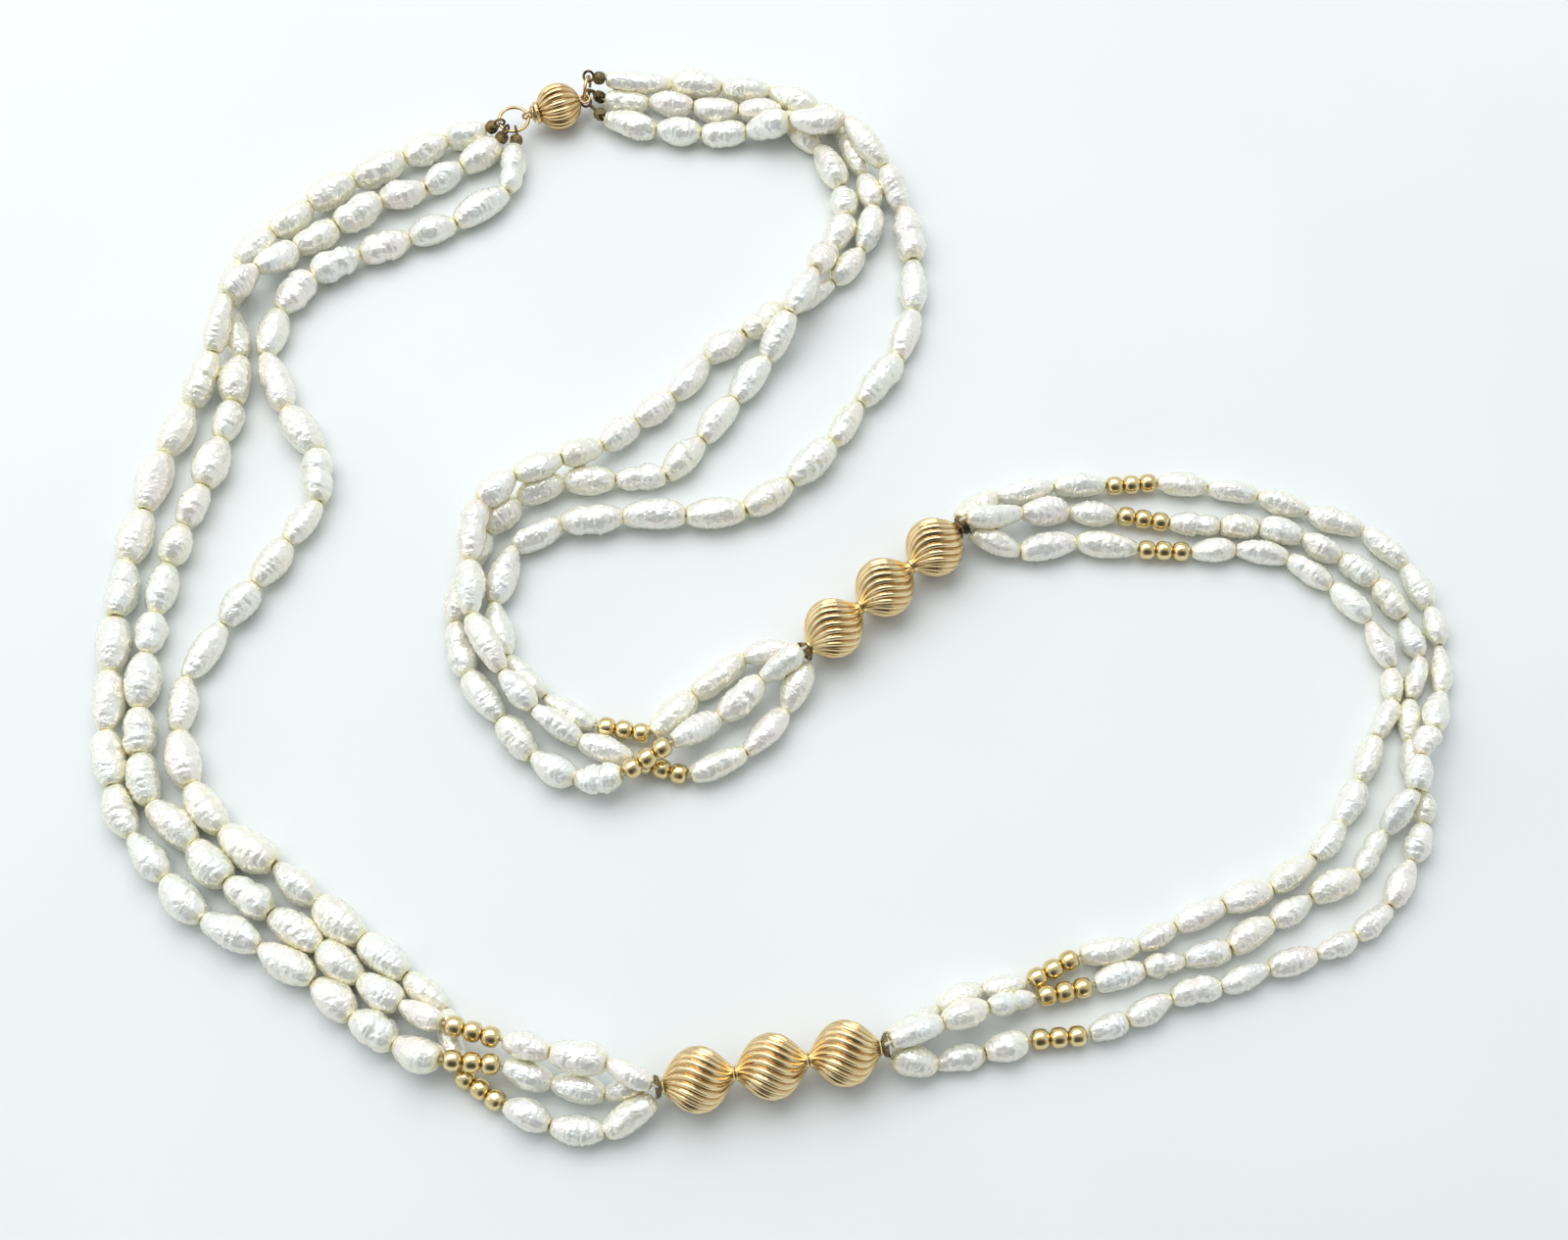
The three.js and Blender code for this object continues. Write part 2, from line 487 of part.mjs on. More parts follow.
const finishes = {
  pearl: { color: 0xf1ece0, roughness: 0.28, metalness: 0 },
  silk: { color: 0xe9e2cf, roughness: 0.85, metalness: 0 },
  gold: { color: 0xd9a648, roughness: 0.16, metalness: 1 },
  clasp: { color: 0xa9782f, roughness: 0.3, metalness: 1 },
  tarnish: { color: 0x4a4130, roughness: 0.6, metalness: 0.7 },
};
const necklace = new THREE.Group();
necklace.name = 'three_strand_pearl_necklace';
function add(name, body, finish) {
  const mesh = new THREE.Mesh(meshed(body), new THREE.MeshStandardMaterial(finishes[finish]));
  mesh.name = name;
  necklace.add(mesh);
}

strands.forEach(({ name }, row) => add(`pearls_${name}`, pearlChain(row), 'pearl'));
const bridgeNames = [
  'left_outer', 'left_centre', 'left_inner', 'front_middle', 'front_top', 'front_bottom',
  'side_top', 'side_middle', 'side_bottom', 'right_lower', 'right_middle', 'right_top',
];
bridges.forEach((bridge, i) => add(`gold_triple_${bridgeNames[i]}`, roundTriple(bridge), 'gold'));
for (const [label, trio] of [['front', frontTrio], ['side', sideTrio]]) {
  ['first', 'second', 'third'].forEach((word, i) => (
    add(`fluted_bead_${label}_${word}`, flutedGoldBead(trio, i - 1), 'gold')
  ));
  add(`gather_cup_${label}_start`, gatherCup(trio, -1), 'tarnish');
  add(`gather_cup_${label}_end`, gatherCup(trio, 1), 'tarnish');
}
add('thread_left', unite([
  thread(['left_outer', 'left_short_outer'], { trio: frontTrio, side: -1, place: 'top' }),
  thread(['left_centre', 'left_short_centre'], { trio: frontTrio, side: -1, place: 'far' }),
  thread(['left_inner', 'left_short_inner'], { trio: frontTrio, side: -1, place: 'near' }),
  ...Object.keys(leftTips).flatMap(knottedEnd),
  knotAt(frontTrio, -1), bundle(frontTrio, -1),
]), 'silk');
const reversed = (name) => [...routeOf[name]].reverse();
const frontThread = (short, long, sideShort, place, sidePlace) => cord([
  gather(frontTrio, 1, place), ...routeOf[short], ...reversed(long), ...reversed(sideShort),
  gather(sideTrio, 1, sidePlace),
], threadRadius, 3);
add('thread_front', unite([
  frontThread('front_short_upper', 'front_upper', 'side_short_upper', 'top', 'far'),
  frontThread('front_short_centre', 'front_lower', 'side_short_lower', 'far', 'near'),
  frontThread('front_short_lower', 'front_centre', 'side_short_centre', 'near', 'top'),
  knotAt(frontTrio, 1), knotAt(sideTrio, 1), bundle(sideTrio, 1),
]), 'silk');
add('thread_right', unite([
  thread(['right_upper', 'right_short_upper'], { trio: sideTrio, side: -1, place: 'near' }),
  thread(['right_centre', 'right_short_centre'], { trio: sideTrio, side: -1, place: 'top' }),
  thread(['right_lower', 'right_short_lower'], { trio: sideTrio, side: -1, place: 'far' }),
  ...Object.keys(rightTips).flatMap(knottedEnd),
  knotAt(sideTrio, -1),
]), 'silk');
add('clasp_ball_shell', ballShell(), 'clasp');
add('clasp_mouth_collar', collar(), 'clasp');
add('clasp_tongue', tongue(), 'clasp');
add('clasp_tongue_leaf', leaf(), 'clasp');
add('clasp_ball_loop', ballLoop(), 'clasp');
add('jump_ring_left', wireLoop(leftRingCentre, up, ringReach.left, ringWire, 20), 'clasp');
const rightRingAxis = V(rightRingWay.y, -rightRingWay.x, 0);
add('jump_ring_right', wireLoop(rightRingCentre, rightRingAxis, ringReach.right, ringWire, 20), 'clasp');
for (const [name, degrees] of Object.entries(leftTips)) {
  add(`bead_tip_${name}`, beadTip(onLeftRing(degrees), leftTangent(degrees), routeOf[name][0]), 'tarnish');
}
for (const [name, degrees] of Object.entries(rightTips)) {
  add(`bead_tip_${name}`, beadTip(onRightRing(degrees), rightTangent(degrees), routeOf[name][0]), 'tarnish');
}

export default necklace;
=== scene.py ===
# A three-strand rice pearl necklace, laid flat in a loop: fine meshes and materials round the
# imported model. Lengths are in millimetres up to solid(), which turns them into metres.
import math

import bpy
import numpy as np
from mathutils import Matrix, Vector


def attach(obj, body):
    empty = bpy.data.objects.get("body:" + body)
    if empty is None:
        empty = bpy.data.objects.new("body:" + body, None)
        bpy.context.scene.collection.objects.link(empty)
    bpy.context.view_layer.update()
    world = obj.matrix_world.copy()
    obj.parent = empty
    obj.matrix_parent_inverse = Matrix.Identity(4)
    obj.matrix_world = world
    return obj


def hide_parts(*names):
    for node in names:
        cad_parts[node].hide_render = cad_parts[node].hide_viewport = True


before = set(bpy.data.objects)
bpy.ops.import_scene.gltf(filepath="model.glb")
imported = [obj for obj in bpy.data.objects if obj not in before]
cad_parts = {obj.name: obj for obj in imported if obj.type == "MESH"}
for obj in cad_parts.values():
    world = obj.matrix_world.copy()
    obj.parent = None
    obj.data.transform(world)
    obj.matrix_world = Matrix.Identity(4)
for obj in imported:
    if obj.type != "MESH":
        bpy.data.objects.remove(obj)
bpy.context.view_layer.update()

MM = 0.001
MIDDLE = np.array([-1.6, 12.5, 0.0])       # middle of the laid-out loop, in the layout's coordinates
UP = np.array([0.0, 0.0, 1.0])

# Driving sizes
BORE = 0.42                                # drill hole of a pearl
AIR = 0.12                                 # least gap between pearls of different strands
NECK_SHARE = 0.38                          # a pearl's end radius as a share of its full radius
STOUTEST = 0.36                            # full radius as a share of length, at most
ROUND_RADIUS = 1.6
ROUND_PITCH = 2.84
FLUTED_PITCH = 11.1
FLUTED_HALF = 5.4
FLUTED_RADIUS = 5.0
SPREAD = 1.9                               # how far each strand leaves a trio from its axis
STRANDS_AT = 17.9                          # distance of the strands' ends from a trio's middle
CUP_INNER = 16.8                           # where a gather begins, from a trio's middle
KNOT_AT = CUP_INNER + 0.3
BUNDLING = 0.35                            # distance of each thread from its bundle's axis
BALL_RADIUS = 4.1
RING_REACH = {"left": 2.65, "right": 2.25}  # ring radius, eye to ring centre

# Layout: one point at every joint between two pearls, [x, y] or [x, y, z].
# Without a z the strand lies on the table, one pearl radius up.
LEFT = {
    "outer": [[-53.9, 97.1, 2.9], [-61, 95.2], [-68.5, 91], [-77.1, 85.9], [-84.4, 80.7],
        [-90.6, 74.8], [-96.2, 69], [-96.5, 59.8, 2.1], [-93.6, 49.5, 2.1], [-93.9, 40.4],
        [-95.3, 33.3], [-97.3, 24.2], [-99.9, 17], [-101.7, 9.9], [-102.7, 0.9], [-103.3, -6.2],
        [-103.3, -15.9], [-102.4, -23.7], [-99.6, -31.9], [-91.9, -38.8], [-86.1, -44.6],
        [-79, -49.7], [-70.8, -54.7], [-64.4, -59.9], [-57.9, -64, 3.1], [-51, -67.3, 5.4]],
    "centre": [[-51.6, 94.2, 2.9], [-58, 89.2], [-64.1, 84.5], [-72.1, 82.1], [-79.4, 76.4],
        [-86.3, 71.7, 3], [-91.9, 65.6, 5.8], [-96.4, 59.4, 7.1], [-97.9, 49.2, 4.8],
        [-101.1, 39.8], [-104.5, 30.4], [-106.7, 19.9], [-108.5, 10.2], [-109, 0.3], [-108.7, -9.5],
        [-108, -19.8], [-105.9, -28.9], [-101.9, -37.2], [-95.8, -44], [-89.2, -50.6], [-79.9, -55],
        [-71.3, -60.2], [-65.1, -65.7], [-58.3, -69.9, 2.8], [-51, -72.7, 5.2]],
    "inner": [[-48.4, 93.4, 2.9], [-49.6, 83.9], [-58.3, 77.3], [-66.4, 74.2], [-74.8, 70.4],
        [-82.9, 66.1], [-88, 58.9], [-89.6, 49.8], [-84.9, 39.2], [-78.8, 31], [-77.7, 21.3],
        [-82.4, 14.1], [-86.9, 6.3], [-91.3, -0.9], [-96.6, -10.3], [-96.6, -19.8], [-93.6, -28.9],
        [-87.7, -36.4], [-79, -41.8], [-71.9, -47.8], [-64.6, -53.7], [-57.5, -59.2],
        [-51.2, -64.4, 2], [-49, -73.8, 1.8]],
}
LEFT_SHORT = {
    "outer": [[-42, -69.7, 4.6], [-34.6, -71.9, 5.7], [-26.2, -73.4, 6.3]],
    "centre": [[-41.8, -73.4, 4.4], [-34.6, -75.6, 2.3], [-26.6, -77.4, 2.4]],
    "inner": [[-41.5, -79, 2], [-34.6, -82], [-26.4, -83, 2.4]],
}
FRONT_SHORT = {
    "upper": [[23.6, -67.2, 5.6], [30.6, -64.7, 5], [38, -62.8, 2.6]],
    "centre": [[23.4, -64.4, 2.2], [30, -61.3, 2.1], [36.9, -60.4, 2]],
    "lower": [[22.8, -73], [30.2, -71], [36.6, -69.1]],
}
FRONT = {
    "upper": [[62.7, 25.5], [71.1, 24.6], [79.4, 22.9], [87.6, 20], [96.5, 16.4], [102.6, 9.8],
        [105.7, 2.4], [106.5, -4.4], [105.6, -13.2, 2.6], [103, -20.2, 5], [100.1, -25, 6.2],
        [98.9, -30.6, 5.7], [93.9, -36.3], [89, -43.3], [81.4, -46.9], [74.9, -50.9], [68.3, -55],
        [61.1, -56.8], [54.9, -58.1], [47.2, -60.7]],
    "centre": [[64.2, 17.9], [72.6, 17.4], [79.2, 17.2], [86.1, 15.3], [92.2, 11.4], [97.6, 6.8],
        [101.4, 0.6], [103.3, -6.4], [100.8, -13.7], [99.6, -20.9, 2], [100.6, -29.9, 2],
        [100.3, -34.9], [97.7, -41.1], [93.5, -48.3], [87.7, -53.1], [81.4, -55.9], [73.9, -58.1],
        [66.3, -60.9], [58.7, -62.6], [51.8, -66.1], [46.1, -68.3]],
    "lower": [[67.4, 12.6], [74.9, 13.1], [83.4, 11.5], [90.2, 6.2], [95.5, -0.2], [98.5, -8.3],
        [98.1, -14.2], [94.6, -20.2], [91.1, -27.8], [87.3, -35], [82.5, -40.6], [75.4, -45.5],
        [67.7, -48.1], [60.1, -51.6], [54.2, -54.7], [45.2, -56]],
}
SIDE_SHORT = {
    "upper": [[35.3, 22.6, 2.3], [45.3, 24.6], [54, 24.7]],
    "centre": [[39.4, 18.7, 4.2], [47.5, 20], [55.7, 19.3]],
    "lower": [[39.1, 12.3], [48.5, 14.4], [58.5, 12.9]],
}
RIGHT = {
    "upper": [[-32.6, 107.2, 4.6], [-20.6, 107.8], [-11.4, 106.7], [-2.5, 106.1], [5.8, 102.3],
        [10.6, 97.6, 2.1], [14.2, 87.6, 2.1], [16.1, 80.4], [13.8, 71.4], [8.6, 64.8, 2.1],
        [-0.3, 59.4, 2.1], [-6.9, 54.2], [-13.6, 49.5], [-19.2, 41.7], [-25.1, 36.7],
        [-30.8, 31.7, 3.4], [-37.3, 28.1, 5.6], [-44.8, 24.8, 6.3], [-50.6, 19.5, 6.5],
        [-51.4, 8.7, 6.5], [-50.6, -0.9, 6.4], [-45.2, -10.5, 5.7], [-39.9, -16.3, 4.3],
        [-32.4, -21.3, 2.7], [-24, -24.3, 1.9]],
    "centre": [[-32.8, 104.2, 2.4], [-24.6, 103.6], [-16.5, 102.3], [-8.3, 101.5],
        [-0.4, 101.1, 2.1], [6.2, 93.4, 2.1], [10.4, 84.8], [11.1, 78.6], [8.3, 71.5, 3.2],
        [5.4, 65.1, 6.4], [1.1, 56.4, 6.1], [-3.1, 48.9, 2.8], [-8.6, 41.1], [-13.9, 33.3],
        [-19.8, 26.4], [-28.3, 25.9], [-37.1, 25.6, 2.1], [-44.6, 22, 2.1], [-49.3, 15.9, 2.1],
        [-53, 8.2, 2.1], [-53.7, -0.6, 2.1], [-51, -9.8], [-45.2, -17.6], [-39.9, -23.8],
        [-32.9, -27.8, 2.8], [-25.4, -27.7, 4.8]],
    "lower": [[-32.6, 99.8, 2.8], [-23.1, 97.3], [-15, 96.5], [-6.9, 96.6, 2.8], [1, 97.1, 6.2],
        [11, 96.6, 7.1], [18.1, 87.9, 4.7], [21.4, 79.8], [22.7, 69.2], [22.7, 58.9], [19.6, 49.5],
        [13, 40.4], [8, 32.6], [1.1, 25.1], [-6.4, 19.9], [-16.4, 19], [-26.8, 18.7], [-37.1, 17.6],
        [-44.9, 13.1], [-47.5, 2.8, 2.1], [-45.2, -6.6, 2.1], [-38.5, -13.5], [-30.2, -18.4]],
}
RIGHT_SHORT = {
    "upper": [[-14.8, -27, 1.9], [-6.1, -23.2], [0.3, -16]],
    "centre": [[-17.7, -22.5, 5.7], [-10.4, -17.3, 2.7], [-3.5, -11.3, 4.7]],
    "lower": [[-20.9, -20, 2.2], [-14.6, -13.2], [-6.6, -6.7, 2.5]],
}
FULLNESS = {
    "left": 2.5, "leftShort": 2.15, "front": 1.95, "frontShort": 2.1, "right": 2.3,
    "rightShort": 2.15,
}

FRONT_TRIO = {"centre": [-1.8, -73.7, 4.92], "angle": 10.2}
SIDE_TRIO = {"centre": [16.4, 4.7, 4.92], "angle": 41}
LEAVING = {"top": math.pi / 2, "far": -math.pi / 6, "near": math.pi * 7 / 6}


def heading(degrees):
    return np.array([math.cos(math.radians(degrees)), math.sin(math.radians(degrees)), 0.0])


def placed(point, height=0.0):
    z = point[2] if len(point) > 2 else height
    return np.array([point[0], point[1], z]) - MIDDLE


def unit(v):
    return v / np.linalg.norm(v)


def trio_point(trio, distance, turn=0.0, offset=0.0):
    axis = heading(trio["angle"])
    across = np.array([-axis[1], axis[0], 0.0])
    sideways = across * offset * math.cos(turn) + UP * offset * math.sin(turn)
    return placed(trio["centre"]) + axis * distance + sideways


def strand_end(trio, side, place):
    return trio_point(trio, side * STRANDS_AT, LEAVING[place], SPREAD)


# The camera stands where the layout is seen obliquely from the near side.
def add_camera():
    data = bpy.data.cameras.new("camera")
    data.lens = 50
    data.sensor_width = 36
    data.clip_start = 0.01
    camera = bpy.data.objects.new("camera", data)
    bpy.context.scene.collection.objects.link(camera)
    place = Vector((1.6, -158.08, 326.75)) * MM
    target = Vector((1.6, -12.5, 2.4)) * MM
    camera.location = place
    camera.rotation_euler = (target - place).to_track_quat("-Z", "Y").to_euler()
    bpy.context.scene.camera = camera


add_camera()

# Strands, each with its body, its joint points and its fullest radius
strands = []


def strand(name, body, points, radius, first=None, last=None):
    route = [placed(p, radius) for p in points]
    if first is not None:
        route.insert(0, first)
    if last is not None:
        route.append(last)
    strands.append({"name": name, "body": body, "route": np.array(route), "radius": radius})


for key in ("outer", "centre", "inner"):
    strand(f"left_{key}", "left_section", LEFT[key], FULLNESS["left"])
for key, place in (("outer", "top"), ("centre", "far"), ("inner", "near")):
    strand(f"left_short_{key}", "left_section", LEFT_SHORT[key], FULLNESS["leftShort"],
           last=strand_end(FRONT_TRIO, -1, place))
for key, place in (("upper", "top"), ("centre", "far"), ("lower", "near")):
    strand(f"front_short_{key}", "front_section", FRONT_SHORT[key], FULLNESS["frontShort"],
           first=strand_end(FRONT_TRIO, 1, place))
for key in ("upper", "centre", "lower"):
    strand(f"front_{key}", "front_section", FRONT[key], FULLNESS["front"])
for key, place in (("upper", "far"), ("centre", "top"), ("lower", "near")):
    strand(f"side_short_{key}", "front_section", SIDE_SHORT[key], FULLNESS["frontShort"],
           first=strand_end(SIDE_TRIO, 1, place))
for key in ("upper", "centre", "lower"):
    strand(f"right_{key}", "right_section", RIGHT[key], FULLNESS["right"])
for key, place in (("upper", "near"), ("centre", "top"), ("lower", "far")):
    strand(f"right_short_{key}", "right_section", RIGHT_SHORT[key], FULLNESS["rightShort"],
           last=strand_end(SIDE_TRIO, -1, place))
route_of = {s["name"]: s["route"] for s in strands}

# Three round gold beads bridge each long strand and its short one.
BRIDGES = [
    ("left_outer", "left_outer", -1, "left_short_outer", 0),
    ("left_centre", "left_centre", -1, "left_short_centre", 0),
    ("left_inner", "left_inner", -1, "left_short_inner", 0),
    ("front_middle", "front_short_upper", -1, "front_upper", -1),
    ("front_top", "front_short_centre", -1, "front_lower", -1),
    ("front_bottom", "front_short_lower", -1, "front_centre", -1),
    ("side_top", "side_short_upper", -1, "front_upper", 0),
    ("side_middle", "side_short_centre", -1, "front_centre", 0),
    ("side_bottom", "side_short_lower", -1, "front_lower", 0),
    ("right_lower", "right_upper", -1, "right_short_upper", 0),
    ("right_middle", "right_centre", -1, "right_short_centre", 0),
    ("right_top", "right_lower", -1, "right_short_lower", 0),
]
bridges = [(name, route_of[a][i], route_of[b][j]) for name, a, i, b, j in BRIDGES]

# A pearl is as full as its strand, its own growth and its neighbours let it be.
FARTHEST_PAIR = 16                         # middles farther apart than this can't meet
STATIONS = np.linspace(0, 1, 9)
SHARES = NECK_SHARE + (1 - NECK_SHARE) * np.sin(np.pi * STATIONS) ** 0.6


def growth(row, i):
    return 0.92 + 0.16 * (abs(math.sin(12.9898 * i + 78.233 * row) * 43.758) % 1)


def sized_pearls():
    pearls = []
    for row, s in enumerate(strands):
        for i, (start, end) in enumerate(zip(s["route"][:-1], s["route"][1:])):
            length = np.linalg.norm(end - start)
            radius = min(s["radius"] * growth(row, i), STOUTEST * length)
            probes = start + STATIONS[:, None] * (end - start)
            pearls.append({"row": row, "start": start, "end": end, "radius": radius, "probes": probes})
    beads = []
    for _, a, b in bridges:
        way = unit(b - a)
        beads += [((a + b) / 2 + way * k * ROUND_PITCH, ROUND_RADIUS, a, b) for k in (-1, 0, 1)]
    for trio in (FRONT_TRIO, SIDE_TRIO):
        beads += [(trio_point(trio, k * FLUTED_PITCH), FLUTED_RADIUS, None, None) for k in (-1, 0, 1)]
    for p in pearls:
        own = strands[p["row"]]["route"]
        for at, radius, a, b in beads:
            on_bead = a is not None and any(np.allclose(end, q) for end in (a, b) for q in own[[0, -1]])
            if not on_bead:
                room = (np.linalg.norm(p["probes"] - at, axis=1) - radius - AIR) / SHARES
                p["radius"] = min(p["radius"], room.min())
    for n, p in enumerate(pearls):
        for q in pearls[n + 1:]:
            apart = np.linalg.norm(p["probes"][4] - q["probes"][4])
            if q["row"] == p["row"] or apart > FARTHEST_PAIR:
                continue
            gaps = np.linalg.norm(p["probes"][:, None] - q["probes"][None], axis=2) - AIR
            shares = SHARES[:, None] + SHARES[None]
            worst = (gaps / shares).min()
            if p["radius"] > worst and q["radius"] > worst:
                p["radius"] = q["radius"] = worst
            slack = (gaps - SHARES[:, None] * p["radius"] - SHARES[None] * q["radius"])
            if slack.min() < 0:
                larger, other, own_shares = (p, q, SHARES[:, None]) if p["radius"] > q["radius"] else \
                    (q, p, SHARES[None])
                other_part = (SHARES[None] if larger is p else SHARES[:, None]) * other["radius"]
                larger["radius"] = ((gaps - other_part) / own_shares).min()
    return pearls


pearls = sized_pearls()


# Mesh making
def solid(name, vertices, faces, material, tint=None):
    """One object from millimetre vertices; tint is a linear colour for every vertex."""
    mesh = bpy.data.meshes.new(name)
    mesh.from_pydata((np.asarray(vertices) * MM).tolist(), [], [list(f) for f in faces])
    mesh.shade_smooth()
    if tint is not None:
        layer = mesh.color_attributes.new("tint", "FLOAT_COLOR", "POINT")
        rgba = np.ones((len(tint), 4), np.float32)
        rgba[:, :3] = tint
        layer.data.foreach_set("color", rgba.ravel())
    mesh.materials.append(material)
    piece = bpy.data.objects.new(name, mesh)
    bpy.context.scene.collection.objects.link(piece)
    return piece


def grid_faces(rings, around, closed=False):
    """Quads between rings of points; closed joins the last ring back to the first."""
    faces = []
    for k in range(rings if closed else rings - 1):
        a = k * around
        b = (k + 1) % rings * around
        faces += [(a + j, a + (j + 1) % around, b + (j + 1) % around, b + j) for j in range(around)]
    return faces


def frame_at(way):
    """Two directions square to a way."""
    side = np.cross(way, UP)
    side = unit(side) if np.linalg.norm(side) > 1e-6 else np.array([1.0, 0.0, 0.0])
    return side, np.cross(side, way)


def turned(profile, at, way, around=48, wave=None):
    """Vertices and faces of a closed profile of (radius, distance) turned about a way from a point."""
    side, over = frame_at(way)
    angle = np.arange(around) * 2 * np.pi / around
    rings = []
    for radius, y in profile:
        reach = radius * (np.ones(around) if wave is None else wave(angle, radius, y))
        ring = np.outer(reach * np.cos(angle), side) + np.outer(reach * np.sin(angle), over)
        rings.append(at + way * y + ring)
    return np.concatenate(rings), grid_faces(len(profile), around, closed=True)


# Ridged gold keeps its full colour on the crests and takes a painted brown shade down in the furrows.
CREST = np.array([1.0, 1.0, 1.0])
FURROW_SHADE = np.array([0.50, 0.34, 0.20])


def painted_furrow_shade(profile, around, wave, depth):
    """A colour for each vertex of a ridged piece: full on the crests, painted brown shade down in the
    furrows.
    """
    angle = np.arange(around) * 2 * np.pi / around
    rows = []
    for radius, y in profile:
        rise = wave(angle, radius, y)
        sunk = np.clip((rise.max() - rise) / depth, 0, 1)[:, None] ** 1.3
        rows.append(CREST + (FURROW_SHADE - CREST) * sunk)
    return np.concatenate(rows)


def tube(points, radius, around=8, plies=0, pitch=1.0, closed=False, reach=None):
    """A tube through closely spaced points, twisted into plies, with round ends or closed on itself."""
    points = np.asarray(points, float)
    ways = np.gradient(points, axis=0)
    if closed:
        ways = np.roll(points, -1, 0) - np.roll(points, 1, 0)
    ways /= np.linalg.norm(ways, axis=1)[:, None]
    side, _ = frame_at(ways[0])
    angle = np.arange(around) * 2 * np.pi / around
    walked = np.concatenate([[0], np.cumsum(np.linalg.norm(np.diff(points, axis=0), axis=1))])
    rings = []
    for point, way, far in zip(points, ways, walked):
        side = unit(side - way * (side @ way))
        over = np.cross(way, side)
        bulge = 1 + (0.22 * np.cos(plies * (angle - 2 * np.pi * far / pitch)) if plies else 0 * angle)
        size = radius * bulge * (1 if reach is None else reach(far, walked[-1]))
        rings.append(point + np.outer(size * np.cos(angle), side) + np.outer(size * np.sin(angle), over))
    faces = grid_faces(len(points), around, closed=closed)
    vertices = np.concatenate(rings)
    if not closed:
        last = len(vertices)
        vertices = np.concatenate([vertices, [points[0], points[-1]]])
        end = (len(points) - 1) * around
        for j in range(around):
            faces.append((last, (j + 1) % around, j))
            faces.append((last + 1, end + j, end + (j + 1) % around))
    return vertices, faces


def joined(parts):
    """Several (vertices, faces) as one."""
    vertices, faces, base = [], [], 0
    for v, f in parts:
        vertices.append(v)
        faces += [tuple(i + base for i in face) for face in f]
        base += len(v)
    return np.concatenate(vertices), faces


def smooth_route(points, step):
    """Evenly spaced points on a Catmull-Rom curve."""
    p = np.asarray(points, float)
    p = np.concatenate([[2 * p[0] - p[1]], p, [2 * p[-1] - p[-2]]])
    out = []
    for a, b, c, d in zip(p[:-3], p[1:-2], p[2:-1], p[3:]):
        count = max(2, int(np.linalg.norm(c - b) / step))
        t = (np.arange(count) / count)[:, None]
        out.append(0.5 * (2 * b + (c - a) * t + (2 * a - 5 * b + 4 * c - d) * t ** 2
                          + (3 * b - a - 3 * c + d) * t ** 3))
    return np.concatenate(out + [p[-2:-1]])


# Materials
def material(name):
    made = bpy.data.materials.new(name)
    made.use_nodes = True
    nodes, links = made.node_tree.nodes, made.node_tree.links
    return made, nodes, links, nodes["Principled BSDF"]


def node(nodes, kind, **inputs):
    made = nodes.new(kind)
    for key, value in inputs.items():
        made.inputs[key.replace("_", " ")].default_value = value
    return made


def object_noise(nodes, links, scale, detail=4.0, roughness=0.55):
    """Noise in the object's own coordinates; scale is per metre."""
    place = nodes.new("ShaderNodeTexCoord")
    noise = node(nodes, "ShaderNodeTexNoise", Scale=scale, Detail=detail, Roughness=roughness)
    links.new(place.outputs["Object"], noise.inputs["Vector"])
    return noise


def ramp(nodes, links, factor, stops):
    made = nodes.new("ShaderNodeValToRGB")
    elements = made.color_ramp.elements
    while len(elements) < len(stops):
        elements.new(0.5)
    for element, (at, colour) in zip(elements, stops):
        element.position = at
        element.color = (*colour, 1.0) if len(colour) == 3 else colour
    links.new(factor, made.inputs["Fac"])
    return made


def spread_roughness(nodes, links, shader, factor, low, high):
    made = nodes.new("ShaderNodeMapRange")
    made.inputs["From Min"].default_value = 0.3
    made.inputs["From Max"].default_value = 0.7
    made.inputs["To Min"].default_value = low
    made.inputs["To Max"].default_value = high
    links.new(factor, made.inputs["Value"])
    links.new(made.outputs["Result"], shader.inputs["Roughness"])


def bumped(nodes, links, shader, heights):
    """Chained bumps, each (height output, distance in metres, strength)."""
    normal = None
    for height, distance, strength in heights:
        bump = node(nodes, "ShaderNodeBump", Distance=distance, Strength=strength)
        links.new(height, bump.inputs["Height"])
        if normal is not None:
            links.new(normal, bump.inputs["Normal"])
        normal = bump.outputs["Normal"]
    links.new(normal, shader.inputs["Normal"])


def mixed(nodes, links, blend, factor, a, b):
    made = nodes.new("ShaderNodeMix")
    made.data_type = "RGBA"
    made.blend_type = blend
    for socket, value in ((0, factor), (6, a), (7, b)):
        if isinstance(value, bpy.types.NodeSocket):
            links.new(value, made.inputs[socket])
        else:
            made.inputs[socket].default_value = value if socket == 0 else (*value, 1.0)
    return made.outputs[2]


